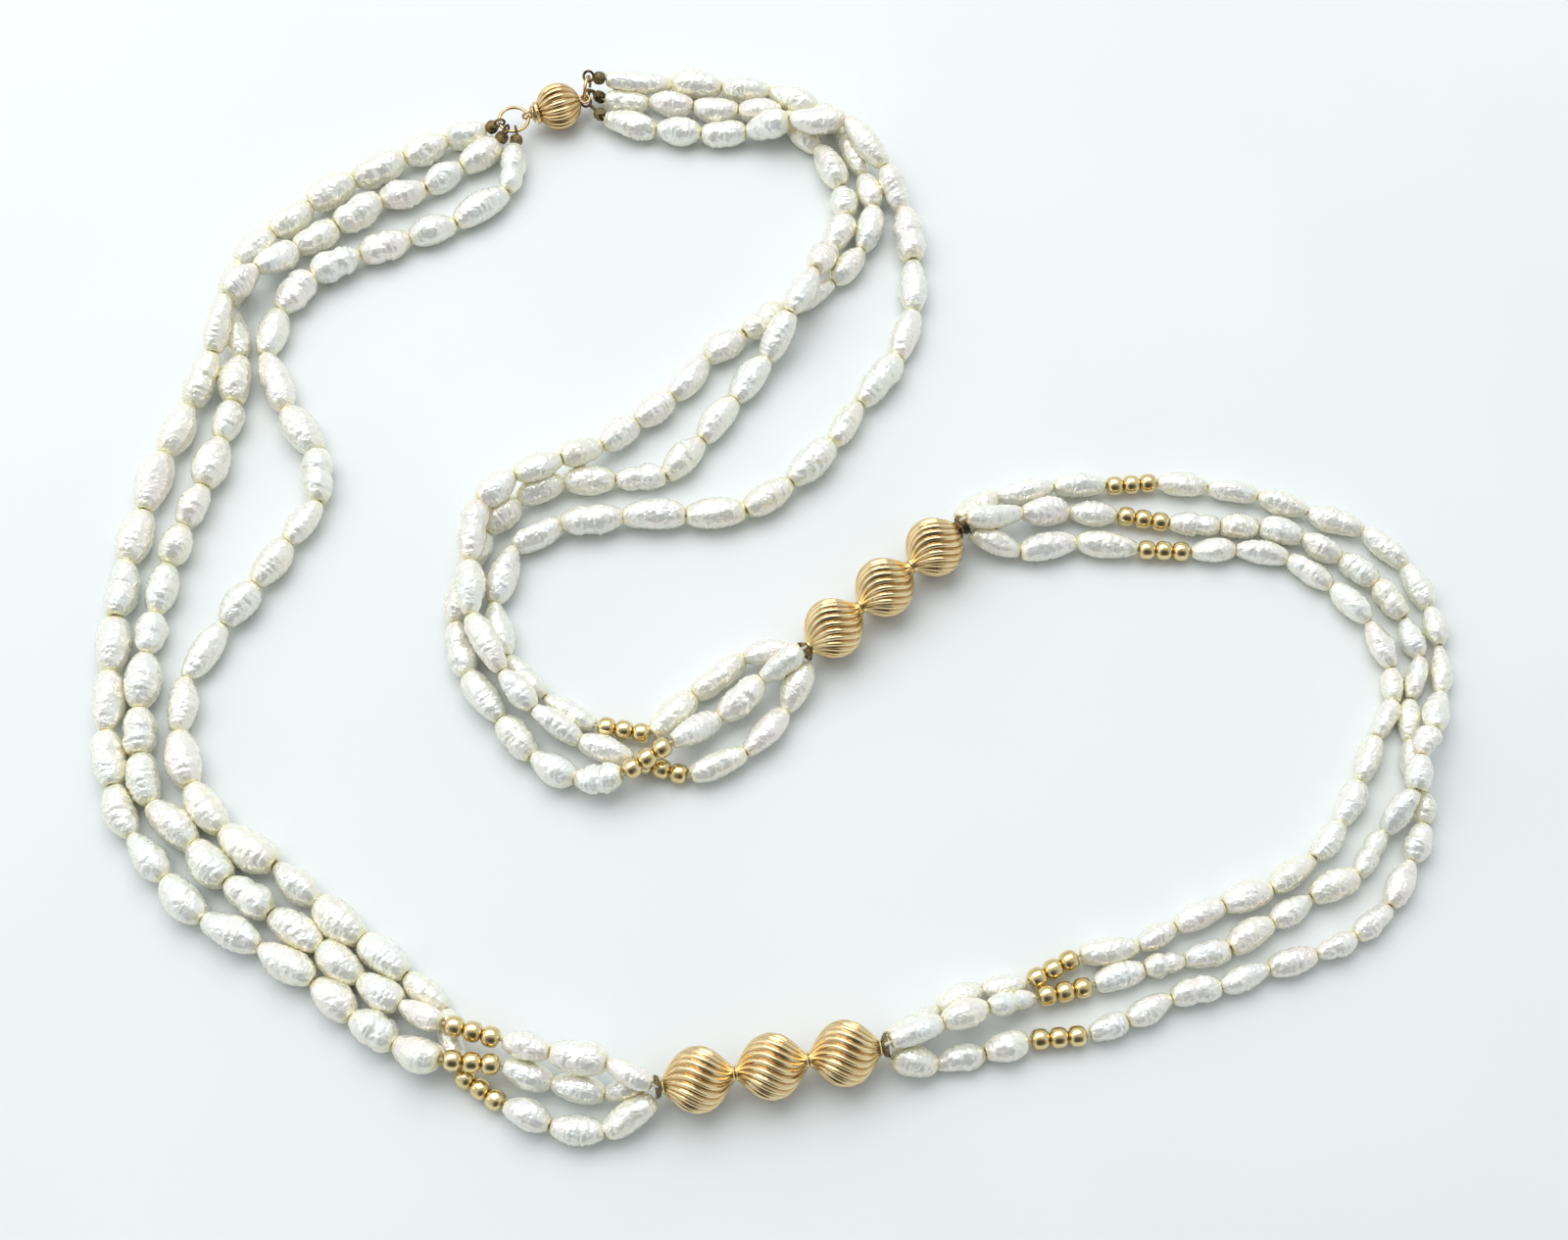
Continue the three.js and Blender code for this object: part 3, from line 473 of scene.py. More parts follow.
def nacre_material():
    made, nodes, links, shader = material("nacre")
    # The vertex colour carries the cream body colour with painted yellow shade at contacts, ends and
    # furrows.
    tint = nodes.new("ShaderNodeVertexColor")
    tint.layer_name = "tint"
    cloud = object_noise(nodes, links, 260, 3)
    orient = ramp(nodes, links, cloud.outputs["Fac"], [
        (0.30, (0.97, 0.93, 0.96)), (0.45, (1.0, 1.0, 0.97)), (0.56, (0.95, 1.0, 0.98)),
        (0.72, (0.94, 0.96, 1.0))])
    colour = mixed(nodes, links, "MULTIPLY", 0.8, tint.outputs["Color"], orient.outputs["Color"])
    links.new(colour, shader.inputs["Base Color"])
    lumps = object_noise(nodes, links, 680, 2, 0.5)
    fine = object_noise(nodes, links, 1900, 2, 0.5)
    spread_roughness(nodes, links, shader, fine.outputs["Fac"], 0.08, 0.16)
    bumped(nodes, links, shader, [
        (lumps.outputs["Fac"], 0.0010, 0.6), (fine.outputs["Fac"], 0.00012, 0.35)])
    shader.inputs["Metallic"].default_value = 0.34
    shader.inputs["IOR"].default_value = 1.62
    shader.inputs["Subsurface Weight"].default_value = 0.35
    shader.inputs["Subsurface Radius"].default_value = (1.0, 0.92, 0.6)
    shader.inputs["Subsurface Scale"].default_value = 0.0022
    shader.inputs["Coat Weight"].default_value = 0.6
    shader.inputs["Coat Roughness"].default_value = 0.07
    shader.inputs["Coat IOR"].default_value = 1.6
    shader.inputs["Thin Film Thickness"].default_value = 305
    shader.inputs["Thin Film IOR"].default_value = 1.38
    return made


def gold_material(name, bright, deep, low, high, bump=0.35, ridged=False):
    made, nodes, links, shader = material(name)
    wear = object_noise(nodes, links, 420, 5)
    tone = ramp(nodes, links, wear.outputs["Fac"], [(0.32, deep), (0.62, bright)])
    colour = tone.outputs["Color"]
    # On ridged gold the vertex colour adds painted brown shade in the furrows.
    if ridged:
        tint = nodes.new("ShaderNodeVertexColor")
        tint.layer_name = "tint"
        colour = mixed(nodes, links, "MULTIPLY", 1.0, colour, tint.outputs["Color"])
    links.new(colour, shader.inputs["Base Color"])
    scratch = object_noise(nodes, links, 2600, 4, 0.65)
    spread_roughness(nodes, links, shader, scratch.outputs["Fac"], low, high)
    bumped(nodes, links, shader, [
        (wear.outputs["Fac"], 0.00012, bump), (scratch.outputs["Fac"], 0.00003, bump)])
    shader.inputs["Metallic"].default_value = 1.0
    return made


def tarnish_material():
    made, nodes, links, shader = material("tarnished_tips")
    patch = object_noise(nodes, links, 700, 5, 0.7)
    tone = ramp(nodes, links, patch.outputs["Fac"], [
        (0.30, (0.012, 0.011, 0.009)), (0.44, (0.07, 0.055, 0.028)), (0.53, (0.30, 0.20, 0.07)),
        (0.64, (0.05, 0.10, 0.065)), (0.74, (0.16, 0.27, 0.19))])
    links.new(tone.outputs["Color"], shader.inputs["Base Color"])
    shine = ramp(nodes, links, patch.outputs["Fac"], [(0.36, (0.9, 0.9, 0.9)), (0.66, (0.1, 0.1, 0.1))])
    links.new(shine.outputs["Color"], shader.inputs["Metallic"])
    grain = object_noise(nodes, links, 4200, 4, 0.7)
    spread_roughness(nodes, links, shader, grain.outputs["Fac"], 0.32, 0.7)
    bumped(nodes, links, shader, [
        (patch.outputs["Fac"], 0.0003, 0.8), (grain.outputs["Fac"], 0.00008, 0.7)])
    return made


def silk_material():
    made, nodes, links, shader = material("silk_thread")
    fibre = object_noise(nodes, links, 5200, 5, 0.7)
    tone = ramp(nodes, links, fibre.outputs["Fac"], [
        (0.3, (0.60, 0.55, 0.40)), (0.7, (0.86, 0.82, 0.68))])
    links.new(tone.outputs["Color"], shader.inputs["Base Color"])
    spread_roughness(nodes, links, shader, fibre.outputs["Fac"], 0.55, 0.85)
    bumped(nodes, links, shader, [(fibre.outputs["Fac"], 0.00006, 0.8)])
    shader.inputs["Sheen Weight"].default_value = 0.3
    return made


nacre = nacre_material()
bead_gold = gold_material("round_bead_gold", (0.84, 0.69, 0.38), (0.74, 0.57, 0.27), 0.08, 0.2)
fluted_gold = gold_material(
    "fluted_bead_gold", (0.93, 0.76, 0.45), (0.88, 0.67, 0.34), 0.08, 0.20, 0.2, True)
ball_gold = gold_material(
    "ribbed_ball_gold", (0.86, 0.66, 0.36), (0.78, 0.54, 0.25), 0.10, 0.24, 0.2, True)
clasp_gold = gold_material("clasp_gold", (0.74, 0.56, 0.32), (0.50, 0.35, 0.17), 0.14, 0.34, 0.4)
tarnish = tarnish_material()
silk = silk_material()

# Pearls: a cream body colour, and a yellower painted shade laid where a pearl meets another pearl, near
# the table, at its ends and down in its wrinkle furrows.
CREAM = np.array([0.955, 0.95, 0.895])
CONTACT_SHADE = np.array([0.96, 0.89, 0.52])
CASTS = np.array([
    [1.0, 1.0, 1.0], [1.02, 0.985, 0.99], [0.985, 1.005, 1.015], [1.01, 1.0, 0.95], [0.99, 1.01, 0.99],
    [1.0, 0.995, 0.965]])
AROUND = 40
ALONG = 46
PEARL_GAP = 0.05                           # half the gap between two pearls on a thread
LONGEST_PAIR = 13                          # middles farther apart than this leave no cast
LIP = 0.62                                 # a drill hole's worn edge, as a share of the pearl's end
FULLER = 1.2                              # the widest point of a pearl, as a share of its even radius
RESTING = 2.7                              # strands lower than this lie on the table
SETTLE = 0.4                               # how far a pearl may sink on its thread to rest there


def wrinkles(rng, s, phi, length):
    """Growth rings across a pearl: crisp furrows that run part of the way round."""
    total = np.zeros((len(s), len(phi)))
    for wavelength, depth in ((1.9, 0.042), (1.1, 0.042), (0.7, 0.030), (0.45, 0.014)):
        wavelength *= rng.uniform(0.85, 1.2)
        sway = rng.uniform(0.3, 1.1) * np.sin(phi + rng.uniform(0, 6.3)) \
            + rng.uniform(0.1, 0.7) * np.sin(2 * phi + rng.uniform(0, 6.3))
        drift = 0.9 * np.sin(2 * np.pi * s / (length * rng.uniform(0.5, 0.9)) + rng.uniform(0, 6.3))
        phase = np.pi * s[:, None] / wavelength + sway[None] + drift[:, None] + rng.uniform(0, 6.3)
        furrow = 0.55 - (1 - np.abs(np.sin(phase))) ** 1.6
        patch = 0.5 + 0.5 * np.sin(phi[None] + rng.uniform(0, 6.3)
                                   + 1.3 * np.sin(2 * np.pi * s[:, None] / length + rng.uniform(0, 6.3)))
        total += depth * furrow * (0.1 + 0.9 * patch ** 1.5)
    return total


def pearl_surface(pearl, rng):
    """A drilled rice pearl: rings of points and a colour for each."""
    start, end, full = pearl["start"], pearl["end"], pearl["radius"]
    length = np.linalg.norm(end - start)
    way = (end - start) / length
    side, over = frame_at(way)
    phi = np.arange(AROUND) * 2 * np.pi / AROUND
    even = np.linspace(0, 1, ALONG)
    t = 0.35 * even + 0.65 * (0.5 - 0.5 * np.cos(np.pi * even))
    lean = rng.uniform(0.76, 1.28)
    neck = rng.uniform(0.30, 0.46)
    plump = rng.uniform(0.46, 0.66)
    body = neck + (1 - neck) * np.sin(np.pi * t ** lean) ** plump
    if rng.random() < 0.3:
        body *= 1 - rng.uniform(0.07, 0.2) * np.exp(-((t - rng.uniform(0.38, 0.62)) / 0.11) ** 2)
    envelope = np.sin(np.pi * np.clip(t, 0, 1)) ** 0.4
    shape = body[:, None] * (1 - rng.uniform(0, 0.12) * np.sin(phi[None] - rng.uniform(0, 3.2)) ** 2)
    for order in (1, 2, 3):
        size = rng.normal(0, 0.055 / order)
        shape *= 1 + size * np.sin(order * phi[None] + 2.5 * order * t[:, None] + rng.uniform(0, 6.3)) \
            * envelope[:, None]
    rough = rng.uniform(0.9, 2.4)
    relief = wrinkles(rng, t * length, phi, length) * rough * envelope[:, None]
    shape *= 1 + relief
    shape *= full * FULLER / shape.max()
    y = PEARL_GAP + t * (length - 2 * PEARL_GAP)
    bow = rng.normal(0, 0.035, 2) * full * np.sin(np.pi * t)[:, None] * 2
    centre = start + way * y[:, None] + bow[:, :1] * side + bow[:, 1:] * over
    ring = np.cos(phi)[:, None] * side + np.sin(phi)[:, None] * over
    outer = centre[:, None] + shape[:, :, None] * ring[None]
    lips = [start + way * d + ring * max(BORE, LIP * shape[k].min())
            for k, d in ((0, PEARL_GAP), (-1, length - PEARL_GAP))]
    chamfer = PEARL_GAP + 0.12
    bores = [start + way * d + ring * BORE for d in (chamfer, length - chamfer)]
    rings = np.concatenate([[bores[0], lips[0]], outer, [lips[1], bores[1]]])
    lowest = rings[:, :, 2].min()
    if lowest < 0 or max(start[2], end[2]) < RESTING:
        rings[:, :, 2] -= min(lowest, SETTLE)
    furrows = np.concatenate([np.full((2, AROUND), -0.05), relief, np.full((2, AROUND), -0.05)])
    cast = CREAM * CASTS[rng.integers(len(CASTS))] * (1 + rng.normal(0, 0.012))
    # Painted yellow shade at the pearl's ends and down in its wrinkle furrows.
    at_end = np.concatenate([[1, 1], 1 - np.clip(np.minimum(t, 1 - t) / 0.17, 0, 1), [1, 1]])
    shade = np.clip(0.55 * at_end[:, None] ** 1.5 - 3.0 * np.minimum(furrows, 0), 0, 1)
    colour = cast + (CONTACT_SHADE - cast) * shade[:, :, None]
    return rings.reshape(-1, 3), colour.reshape(-1, 3)


def contact_shade_weight(points, index):
    """Painted yellow contact shade for each point, from 0 to 1: near the other strands' pearls and low
    over the table.
    """
    near = np.zeros(len(points))
    own = pearls[index]
    for other in pearls:
        apart = np.linalg.norm(other["probes"][4] - own["probes"][4])
        if other["row"] == own["row"] or apart > LONGEST_PAIR:
            continue
        for at, share in zip(other["probes"], SHARES):
            gap = np.linalg.norm(points - at, axis=1) - share * other["radius"]
            near = np.maximum(near, np.exp(-np.maximum(gap, 0) / 0.75))
    low = np.exp(-np.maximum(points[:, 2], 0) / 0.7)
    return np.maximum(near, low)


def build_pearls():
    rng = np.random.default_rng(41)
    per_row = {row: [] for row in range(len(strands))}
    for index, pearl in enumerate(pearls):
        points, colour = pearl_surface(pearl, rng)
        # Painted yellow shade where the pearl nears other strands and the table.
        near = contact_shade_weight(points, index)[:, None] * 0.7
        per_row[pearl["row"]].append((points, colour + (CONTACT_SHADE - colour) * near))
    for row, s in enumerate(strands):
        parts = [(p, grid_faces(ALONG + 4, AROUND, closed=True)) for p, _ in per_row[row]]
        vertices, faces = joined(parts)
        tint = np.concatenate([c for _, c in per_row[row]])
        piece = solid(f"rice_pearls_{s['name']}", vertices, faces, nacre, tint)
        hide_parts(f"pearls_{s['name']}")
        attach(piece, s["body"])


build_pearls()


# Round gold beads, three on a thread, each with a worn drilled end
MOUTH_ANGLE = 0.3                          # where a bead's rounded side ends at its hole


def round_bead(centre, way):
    profile = []
    half = ROUND_PITCH / 2 - 0.01
    reach = math.cos(MOUTH_ANGLE) ** 0.75
    for angle in np.linspace(MOUTH_ANGLE, math.pi - MOUTH_ANGLE, 27):
        barrel = math.copysign(abs(math.cos(angle)) ** 0.75, math.cos(angle)) / reach
        profile.append((ROUND_RADIUS * math.sin(angle) ** 0.7, -half * barrel))
    profile += [(0.5, half - 0.06), (0.4, half - 0.3), (0.4, 0.3 - half), (0.5, 0.06 - half)]
    return turned(profile, centre, way, 36)


for name, a, b in bridges:
    way = unit(b - a)
    middle = (a + b) / 2
    parts = [round_bead(middle + way * k * ROUND_PITCH, way) for k in (-1, 0, 1)]
    vertices, faces = joined(parts)
    piece = solid(f"round_beads_{name}", vertices, faces, bead_gold)
    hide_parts(f"gold_triple_{name}")
    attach(piece, f"gold_triple_{name}")


# Fluted beads: rounded ridges with sharp furrows, twisted about the bead's axis
FLUTES = 20
TWIST = -1.4                               # turn of a ridge over the whole bead, radians
COLLAR = 1.25                              # radius of the plain end
RIDGE = 0.14                               # ridge height as a share of the bead's radius


def fluted_bead(centre, way, turn):
    def ridged(angle, radius, y):
        if radius <= COLLAR + 0.05:
            return np.ones(len(angle))
        lean = TWIST * y / (2 * FLUTED_HALF) * ease_out(y)
        rise = np.abs(np.cos(FLUTES / 2 * (angle - lean - turn))) ** 0.75
        depth = RIDGE * min(1, (radius - COLLAR) / 1.5)
        return 1 + depth * (rise - 0.95)
    u = np.linspace(-1, 1, 61)
    y = u * (FLUTED_HALF - 0.12)
    swell = np.cos(np.pi / 2 * u) ** (0.68 + 0.42 * u * u)
    radius = COLLAR + (FLUTED_RADIUS - 0.06 - COLLAR) * swell
    lip = [(COLLAR * 0.75, -FLUTED_HALF - 0.13), (COLLAR * 0.92, -FLUTED_HALF - 0.08),
           (COLLAR, -FLUTED_HALF + 0.03)]
    profile = lip + list(zip(radius, y)) + [(r, -d) for r, d in reversed(lip)]
    profile += [(0.8, FLUTED_HALF), (0.8, -FLUTED_HALF)]
    vertices, faces = turned(profile, centre, way, FLUTES * 10, ridged)
    return vertices, faces, painted_furrow_shade(profile, FLUTES * 10, ridged, 0.11)


def ease_out(y):
    """Ridges lean most at the middle of a bead and straighten towards its ends."""
    return 1.25 - 0.35 * abs(y) / FLUTED_HALF


for label, trio in (("front", FRONT_TRIO), ("side", SIDE_TRIO)):
    for k, word in enumerate(("first", "second", "third")):
        vertices, faces, tint = fluted_bead(
            trio_point(trio, (k - 1) * FLUTED_PITCH), heading(trio["angle"]), 0.7 * k)
        piece = solid(f"fluted_{label}_{word}", vertices, faces, fluted_gold, tint)
        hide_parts(f"fluted_bead_{label}_{word}")
        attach(piece, f"fluted_bead_{label}_{word}")


def tapered(far, whole):
    return 1 - 0.75 * far / whole


def ragged(angle, radius, y):
    return 1 + 0.045 * np.sin(9 * angle + 2 * y) + 0.03 * np.sin(23 * angle)


# Gathers: a small dark crimp at each end of a trio, with bent wires standing out of it
def gather(label, end, body, trio, side, spikes):
    at = trio_point(trio, side * CUP_INNER)
    way = heading(trio["angle"]) * side
    profile = [(0.9, 0), (1.2, -0.05), (1.5, 0.08), (1.68, 0.4), (1.75, 0.66), (1.66, 0.75), (1.5, 0.7),
               (1.35, 0.4), (0.9, 0.1)]
    parts = [turned(profile, at, way, 48, ragged)]
    rng = np.random.default_rng(len(label) * 7 + side + 3)
    across, over = frame_at(way)
    for _ in range(spikes):
        angle = rng.uniform(0, 2 * np.pi)
        out = across * math.cos(angle) + over * math.sin(angle)
        root = at + way * 0.5 + out * 1.35
        tip = root + out * rng.uniform(0.4, 0.9) + way * rng.uniform(-0.2, 0.5) + rng.normal(0, 0.12, 3)
        middle = (root + tip) / 2 + rng.normal(0, 0.12, 3)
        parts.append(tube([root, middle, tip], 0.16, 8, reach=tapered))
    vertices, faces = joined(parts)
    piece = solid(f"gather_{label}_{end}", vertices, faces, tarnish)
    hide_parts(f"gather_cup_{label}_{end}")
    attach(piece, body)


gather("front", "start", "left_section", FRONT_TRIO, -1, 3)
gather("front", "end", "front_section", FRONT_TRIO, 1, 11)
gather("side", "start", "right_section", SIDE_TRIO, -1, 2)
gather("side", "end", "front_section", SIDE_TRIO, 1, 5)

# The clasp: a melon-ribbed ball with a mouth ring, a tongue with its face plate, and wire eyes
CLASP_ANGLE = 20
CLASP_WAY = heading(CLASP_ANGLE)
BALL_CENTRE = placed([-40.9, 101.3, 4.3])
MOUTH = BALL_RADIUS + 0.1
EYE_AT = {"left": -5.85, "right": 4.95}
RIBS = 18
EYE_RADIUS = 0.9
EYE_WIRE = 0.24
RING_WIRE = 0.3


def clasp_point(distance):
    return BALL_CENTRE + CLASP_WAY * distance


def clasp_piece(name, vertices, faces, node_name, body, finish=None, tint=None):
    piece = solid(name, vertices, faces, finish or clasp_gold, tint)
    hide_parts(node_name)
    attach(piece, body)


def ball():
    def melon(angle, radius, y):
        if math.hypot(radius, y) < BALL_RADIUS - 0.2:
            return np.ones(len(angle))
        crest = np.abs(np.cos(RIBS / 2 * angle)) ** 0.7
        return 1 + 0.15 * min(1, radius / 2.0) * (crest - 0.95)
    profile = []
    for angle in np.linspace(0.4, math.pi - 0.3, 33):
        profile.append((BALL_RADIUS * math.sin(angle), -BALL_RADIUS * math.cos(angle)))
    inner = BALL_RADIUS - 0.45
    for angle in np.linspace(math.pi - 0.3, 0.46, 13):
        profile.append((inner * math.sin(angle), -inner * math.cos(angle)))
    vertices, faces = turned(profile, BALL_CENTRE, CLASP_WAY, RIBS * 10, melon)
    return vertices, faces, painted_furrow_shade(profile, RIBS * 10, melon, 0.12)


def round_wire(centre, axis, radius, wire, start=0.0, sweep=2 * math.pi, around=14):
    """A ring of wire, or an open one when the sweep is less than a whole turn."""
    a, b = frame_at(axis)
    whole = sweep > 2 * math.pi - 1e-6
    angle = start + np.linspace(0, sweep, 73)
    if whole:
        angle = angle[:-1]
    points = centre + radius * (np.outer(np.cos(angle), a) + np.outer(np.sin(angle), b))
    return tube(points, wire, around, closed=whole)


def spoked(count, height, plain):
    """Radial spokes outside a plain middle."""
    def wave(angle, radius, y):
        return 1 + height * np.cos(count * angle) * (radius > plain)
    return wave


def tongue():
    disc = [
        (0.0001, -0.30), (0.45, -0.27), (0.9, -0.16), (1.3, 0.0), (1.55, 0.2), (1.5, 0.3), (0.0001, 0.3),
    ]
    face = turned(disc, clasp_point(-5.1), CLASP_WAY, 40, spoked(12, 0.05, 0.8))
    across, over = frame_at(CLASP_WAY)
    middle = clasp_point(-1.75) - UP * 0.7
    corners = []
    for x in (-3.2, -3.0, 3.0, 3.2):
        narrow = 0.45 if abs(x) > 3.1 else 0.6
        ring = [(-narrow, -0.2), (narrow, -0.2), (narrow, 0.2), (-narrow, 0.2)]
        corners += [middle + CLASP_WAY * x + across * u + UP * w for u, w in ring]
    faces = grid_faces(4, 4) + [(3, 2, 1, 0), (12, 13, 14, 15)]
    eye = round_wire(clasp_point(EYE_AT["left"]), across, EYE_RADIUS, EYE_WIRE)
    return joined([face, (np.array(corners), faces), eye])


def leaf():
    across, _ = frame_at(CLASP_WAY)
    rings = []
    for x in np.linspace(0, 4.1, 13):
        rise = 0.16 * x + 0.12 * math.sin(x / 4.1 * math.pi)
        centre = clasp_point(1.6 - x) + UP * (rise - 0.2)
        ring = [(-0.55, -0.13), (0.55, -0.13), (0.55, 0.13), (-0.55, 0.13)]
        rings += [centre + across * u + UP * w for u, w in ring]
    last = len(rings) - 4
    faces = grid_faces(13, 4) + [(3, 2, 1, 0), (last, last + 1, last + 2, last + 3)]
    return np.array(rings), faces


def ball_eye():
    stem = tube([clasp_point(BALL_RADIUS + d) for d in (-1, 0, 0.4)], 0.4, 14)
    knob = [(0.0001, -0.55), (0.45, -0.45), (0.68, 0), (0.45, 0.45), (0.0001, 0.55)]
    return joined([stem, turned(knob, clasp_point(BALL_RADIUS - 1), CLASP_WAY, 20),
                   round_wire(clasp_point(EYE_AT["right"]), UP, EYE_RADIUS, EYE_WIRE)])


ball_vertices, ball_faces, ball_tint = ball()
clasp_piece("ribbed_ball", ball_vertices, ball_faces, "clasp_ball_shell", "right_section",
            ball_gold, ball_tint)
rim = [(1.58, -0.03), (1.78, -0.08), (1.95, 0.02), (2.0, 0.3), (1.95, 0.58), (1.6, 0.6)]
clasp_piece("ball_mouth_ring",
            *turned(rim, clasp_point(-MOUTH - 0.25), CLASP_WAY, 72, spoked(RIBS, 0.02, 1.7)),
            "clasp_mouth_collar", "right_section", bead_gold)
clasp_piece("sprung_tongue", *tongue(), "clasp_tongue", "left_section")
clasp_piece("tongue_spring_leaf", *leaf(), "clasp_tongue_leaf", "clasp_tongue_leaf")
clasp_piece("ball_wire_eye", *ball_eye(), "clasp_ball_loop", "right_section")

left_ring_centre = clasp_point(EYE_AT["left"] - RING_REACH["left"])
right_ring_way = heading(80)
right_ring_centre = clasp_point(EYE_AT["right"]) + right_ring_way * RING_REACH["right"]
right_ring_axis = np.array([right_ring_way[1], -right_ring_way[0], 0.0])
SPLIT = 0.09                                # angle of the cut in a jump ring, radians
for side, centre, axis, start in (
        ("left", left_ring_centre, UP, 2.0), ("right", right_ring_centre, right_ring_axis, 4.0)):
    wire = round_wire(centre, axis, RING_REACH[side], RING_WIRE, start, 2 * math.pi - SPLIT)
    clasp_piece(f"split_ring_{side}", *wire, f"jump_ring_{side}", f"jump_ring_{side}")


# Bead tips: a small cup over the end knot, with a hook closed round the ring
def on_left_ring(degrees):
    return left_ring_centre + heading(degrees) * RING_REACH["left"], heading(degrees + 90)


def on_right_ring(degrees):
    a = math.radians(degrees)
    at = right_ring_centre + RING_REACH["right"] * (right_ring_way * math.cos(a) + UP * math.sin(a))
    return at, UP * math.cos(a) - right_ring_way * math.sin(a)


TIP_CLEAR = 0.3                             # gap between a bead tip and its first pearl
TIP_LENGTH = 2.0


def bead_tip(hook, hook_axis, end, turn):
    arm = end - hook
    reach = np.linalg.norm(arm) - TIP_CLEAR
    way = unit(arm)
    base = reach - TIP_LENGTH
    profile = [
        (0.0001, base), (0.45, base + 0.02), (0.95, base + 0.3), (1.15, base + 0.7),
        (1.2, base + 1.2), (1.12, base + 1.7), (0.95, reach - 0.03), (0.85, reach + 0.04),
        (0.66, reach), (0.8, base + 1.3), (0.7, base + 0.75), (0.0001, base + 0.6)]

    def dented(angle, radius, y):
        dents = 0.06 * np.cos(2 * angle + turn) + 0.025 * np.sin(5 * angle + 3 * y)
        return 1 + dents * (radius > 0.9)
    cup = turned(profile, hook, way, 36, dented)
    stem = tube([hook + way * EYE_RADIUS, hook + way * (EYE_RADIUS + base + 0.3) / 2,
                 hook + way * (base + 0.3)], 0.32, 12)
    eye = round_wire(hook, hook_axis, EYE_RADIUS, EYE_WIRE, around=12)
    return joined([cup, stem, eye])


TIPS = {
    "left_outer": (on_left_ring, 196), "left_centre": (on_left_ring, 240),
    "left_inner": (on_left_ring, 283), "right_upper": (on_right_ring, 40),
    "right_centre": (on_right_ring, -60), "right_lower": (on_right_ring, -140),
}
hooks = {}
for turn, (name, (on_ring, degrees)) in enumerate(TIPS.items()):
    hook, hook_axis = on_ring(degrees)
    hooks[name] = hook
    piece = solid(f"end_cup_{name}", *bead_tip(hook, hook_axis, route_of[name][0], turn), tarnish)
    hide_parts(f"bead_tip_{name}")
    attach(piece, name.split("_")[0] + "_section")


# Threads: two-ply silk through every pearl and bead, knotted at the ends and gathered at the trios
THREAD = 0.24
PLY_PITCH = 1.6
END_KNOT = 0.42
GATHER_KNOT = 0.6


def knot(at, size):
    angle = np.linspace(0, 2 * np.pi, 60)
    turns = np.stack([np.sin(angle) + 1.3 * np.sin(2 * angle), np.cos(angle) - 1.3 * np.cos(2 * angle),
                      -np.sin(3 * angle)], axis=1)[:-1]
    return tube(at + turns * size / 2.6, size * 0.42, 10, closed=True)


def thread(points):
    return tube(smooth_route(points, 0.5), THREAD, 8, plies=2, pitch=PLY_PITCH)


def gathered(trio, side, place):
    return trio_point(trio, side * KNOT_AT, LEAVING[place], BUNDLING)


def knotted_end(name):
    first = route_of[name][0]
    at = first + unit(hooks[name] - first) * 1.2
    return [knot(at, END_KNOT), tube([at, (at + first) / 2, first], THREAD, 8)]


def bundle(trio, side):
    a = trio_point(trio, side * KNOT_AT)
    b = trio_point(trio, -side * (CUP_INNER - 0.8))
    return tube(np.linspace(a, b, 60), 0.6, 18, plies=3, pitch=3.2)


def silk_piece(name, parts, node_name, body):
    piece = solid(name, *joined(parts), silk)
    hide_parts(node_name)
    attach(piece, body)


left_parts = [knot(trio_point(FRONT_TRIO, -KNOT_AT), GATHER_KNOT), bundle(FRONT_TRIO, -1)]
for key, place in (("outer", "top"), ("centre", "far"), ("inner", "near")):
    points = [*route_of[f"left_{key}"], *route_of[f"left_short_{key}"], gathered(FRONT_TRIO, -1, place)]
    left_parts += [thread(points), *knotted_end(f"left_{key}")]
silk_piece("silk_left", left_parts, "thread_left", "left_section")

front_parts = [knot(trio_point(trio, KNOT_AT), GATHER_KNOT) for trio in (FRONT_TRIO, SIDE_TRIO)]
front_parts.append(bundle(SIDE_TRIO, 1))
for short, long, side_short, place, side_place in (
        ("upper", "upper", "upper", "top", "far"), ("centre", "lower", "lower", "far", "near"),
        ("lower", "centre", "centre", "near", "top")):
    front_parts.append(thread([
        gathered(FRONT_TRIO, 1, place), *route_of[f"front_short_{short}"],
        *route_of[f"front_{long}"][::-1], *route_of[f"side_short_{side_short}"][::-1],
        gathered(SIDE_TRIO, 1, side_place)]))
silk_piece("silk_front", front_parts, "thread_front", "front_section")

right_parts = [knot(trio_point(SIDE_TRIO, -KNOT_AT), GATHER_KNOT)]
for key, place in (("upper", "near"), ("centre", "top"), ("lower", "far")):
    points = [*route_of[f"right_{key}"], *route_of[f"right_short_{key}"], gathered(SIDE_TRIO, -1, place)]
    right_parts += [thread(points), *knotted_end(f"right_{key}")]
silk_piece("silk_right", right_parts, "thread_right", "right_section")


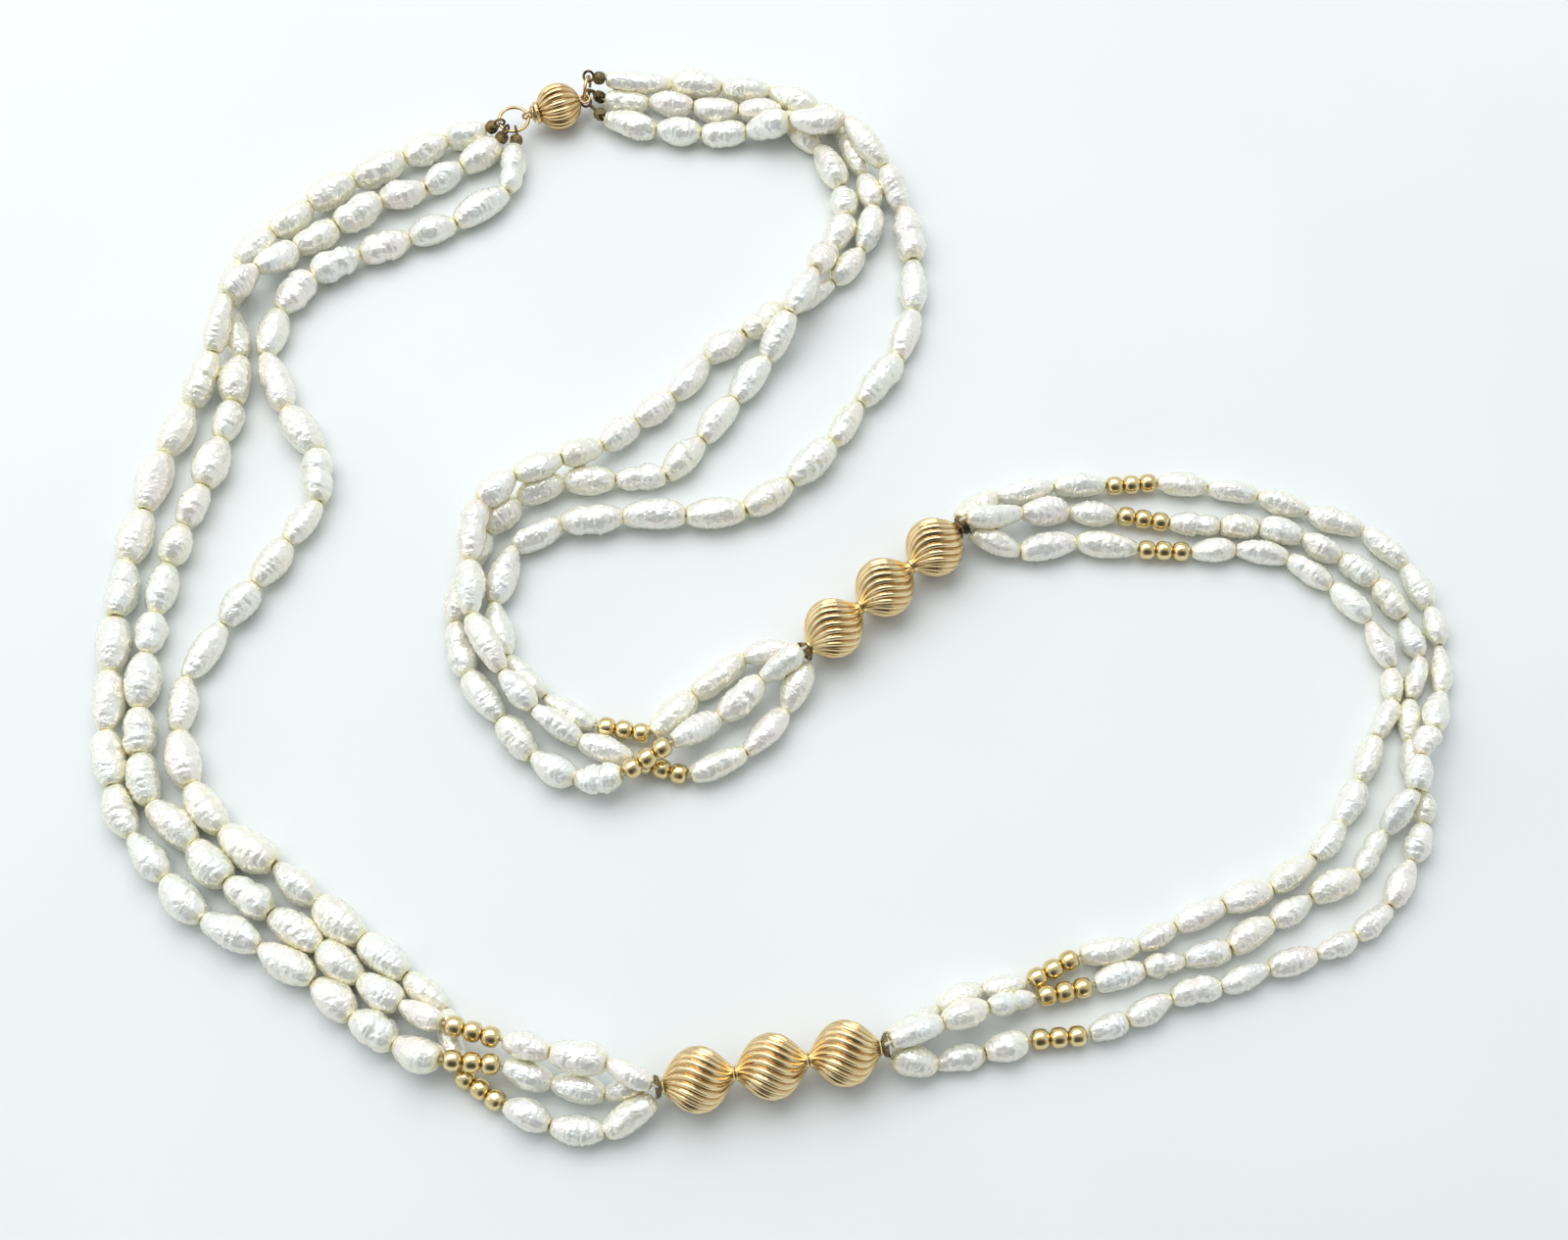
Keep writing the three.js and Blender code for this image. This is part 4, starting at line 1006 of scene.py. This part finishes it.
# Floor, lights and surroundings
def pale_floor():
    made, nodes, links, shader = material("pale_table")
    soft = object_noise(nodes, links, 14, 2)
    tone = ramp(nodes, links, soft.outputs["Fac"], [
        (0.3, (0.80, 0.835, 0.84)), (0.7, (0.83, 0.86, 0.865))])
    links.new(tone.outputs["Color"], shader.inputs["Base Color"])
    shader.inputs["Roughness"].default_value = 0.75
    shader.inputs["IOR"].default_value = 1.3
    bpy.ops.mesh.primitive_plane_add(size=4)
    floor = bpy.context.object
    floor.name = "table"
    floor.data.materials.append(made)


def area_light(name, place, target, size, power, colour=(1, 1, 1)):
    data = bpy.data.lights.new(name, "AREA")
    data.shape = "RECTANGLE"
    data.size, data.size_y = size
    data.energy = power
    data.color = colour
    light = bpy.data.objects.new(name, data)
    light.location = place
    light.rotation_euler = (Vector(target) - Vector(place)).to_track_quat("-Z", "Y").to_euler()
    bpy.context.scene.collection.objects.link(light)


def surroundings():
    world = bpy.data.worlds.new("studio")
    bpy.context.scene.world = world
    world.use_nodes = True
    nodes, links = world.node_tree.nodes, world.node_tree.links
    place = nodes.new("ShaderNodeTexCoord")
    toward = nodes.new("ShaderNodeVectorMath")
    toward.operation = "DOT_PRODUCT"
    toward.inputs[1].default_value = (0.05, -0.80, 0.60)
    links.new(place.outputs["Generated"], toward.inputs[0])
    shade = ramp(nodes, links, toward.outputs["Value"], [
        (0.0, (0.92, 0.96, 1.0)), (0.70, (0.80, 0.84, 0.86)), (0.86, (0.30, 0.30, 0.30)),
        (0.97, (0.10, 0.10, 0.10))])
    links.new(shade.outputs["Color"], nodes["Background"].inputs["Color"])
    nodes["Background"].inputs["Strength"].default_value = 0.80


pale_floor()
area_light("overhead", (-0.16, 0.34, 0.75), (0, 0.0, 0), (1.0, 0.7), 5.0, (1.0, 0.995, 0.98))
area_light("left_fill", (-0.75, -0.05, 0.42), (0, 0, 0), (0.5, 0.5), 0.5, (0.97, 0.985, 1.0))
surroundings()
bpy.context.scene.view_settings.view_transform = "Standard"
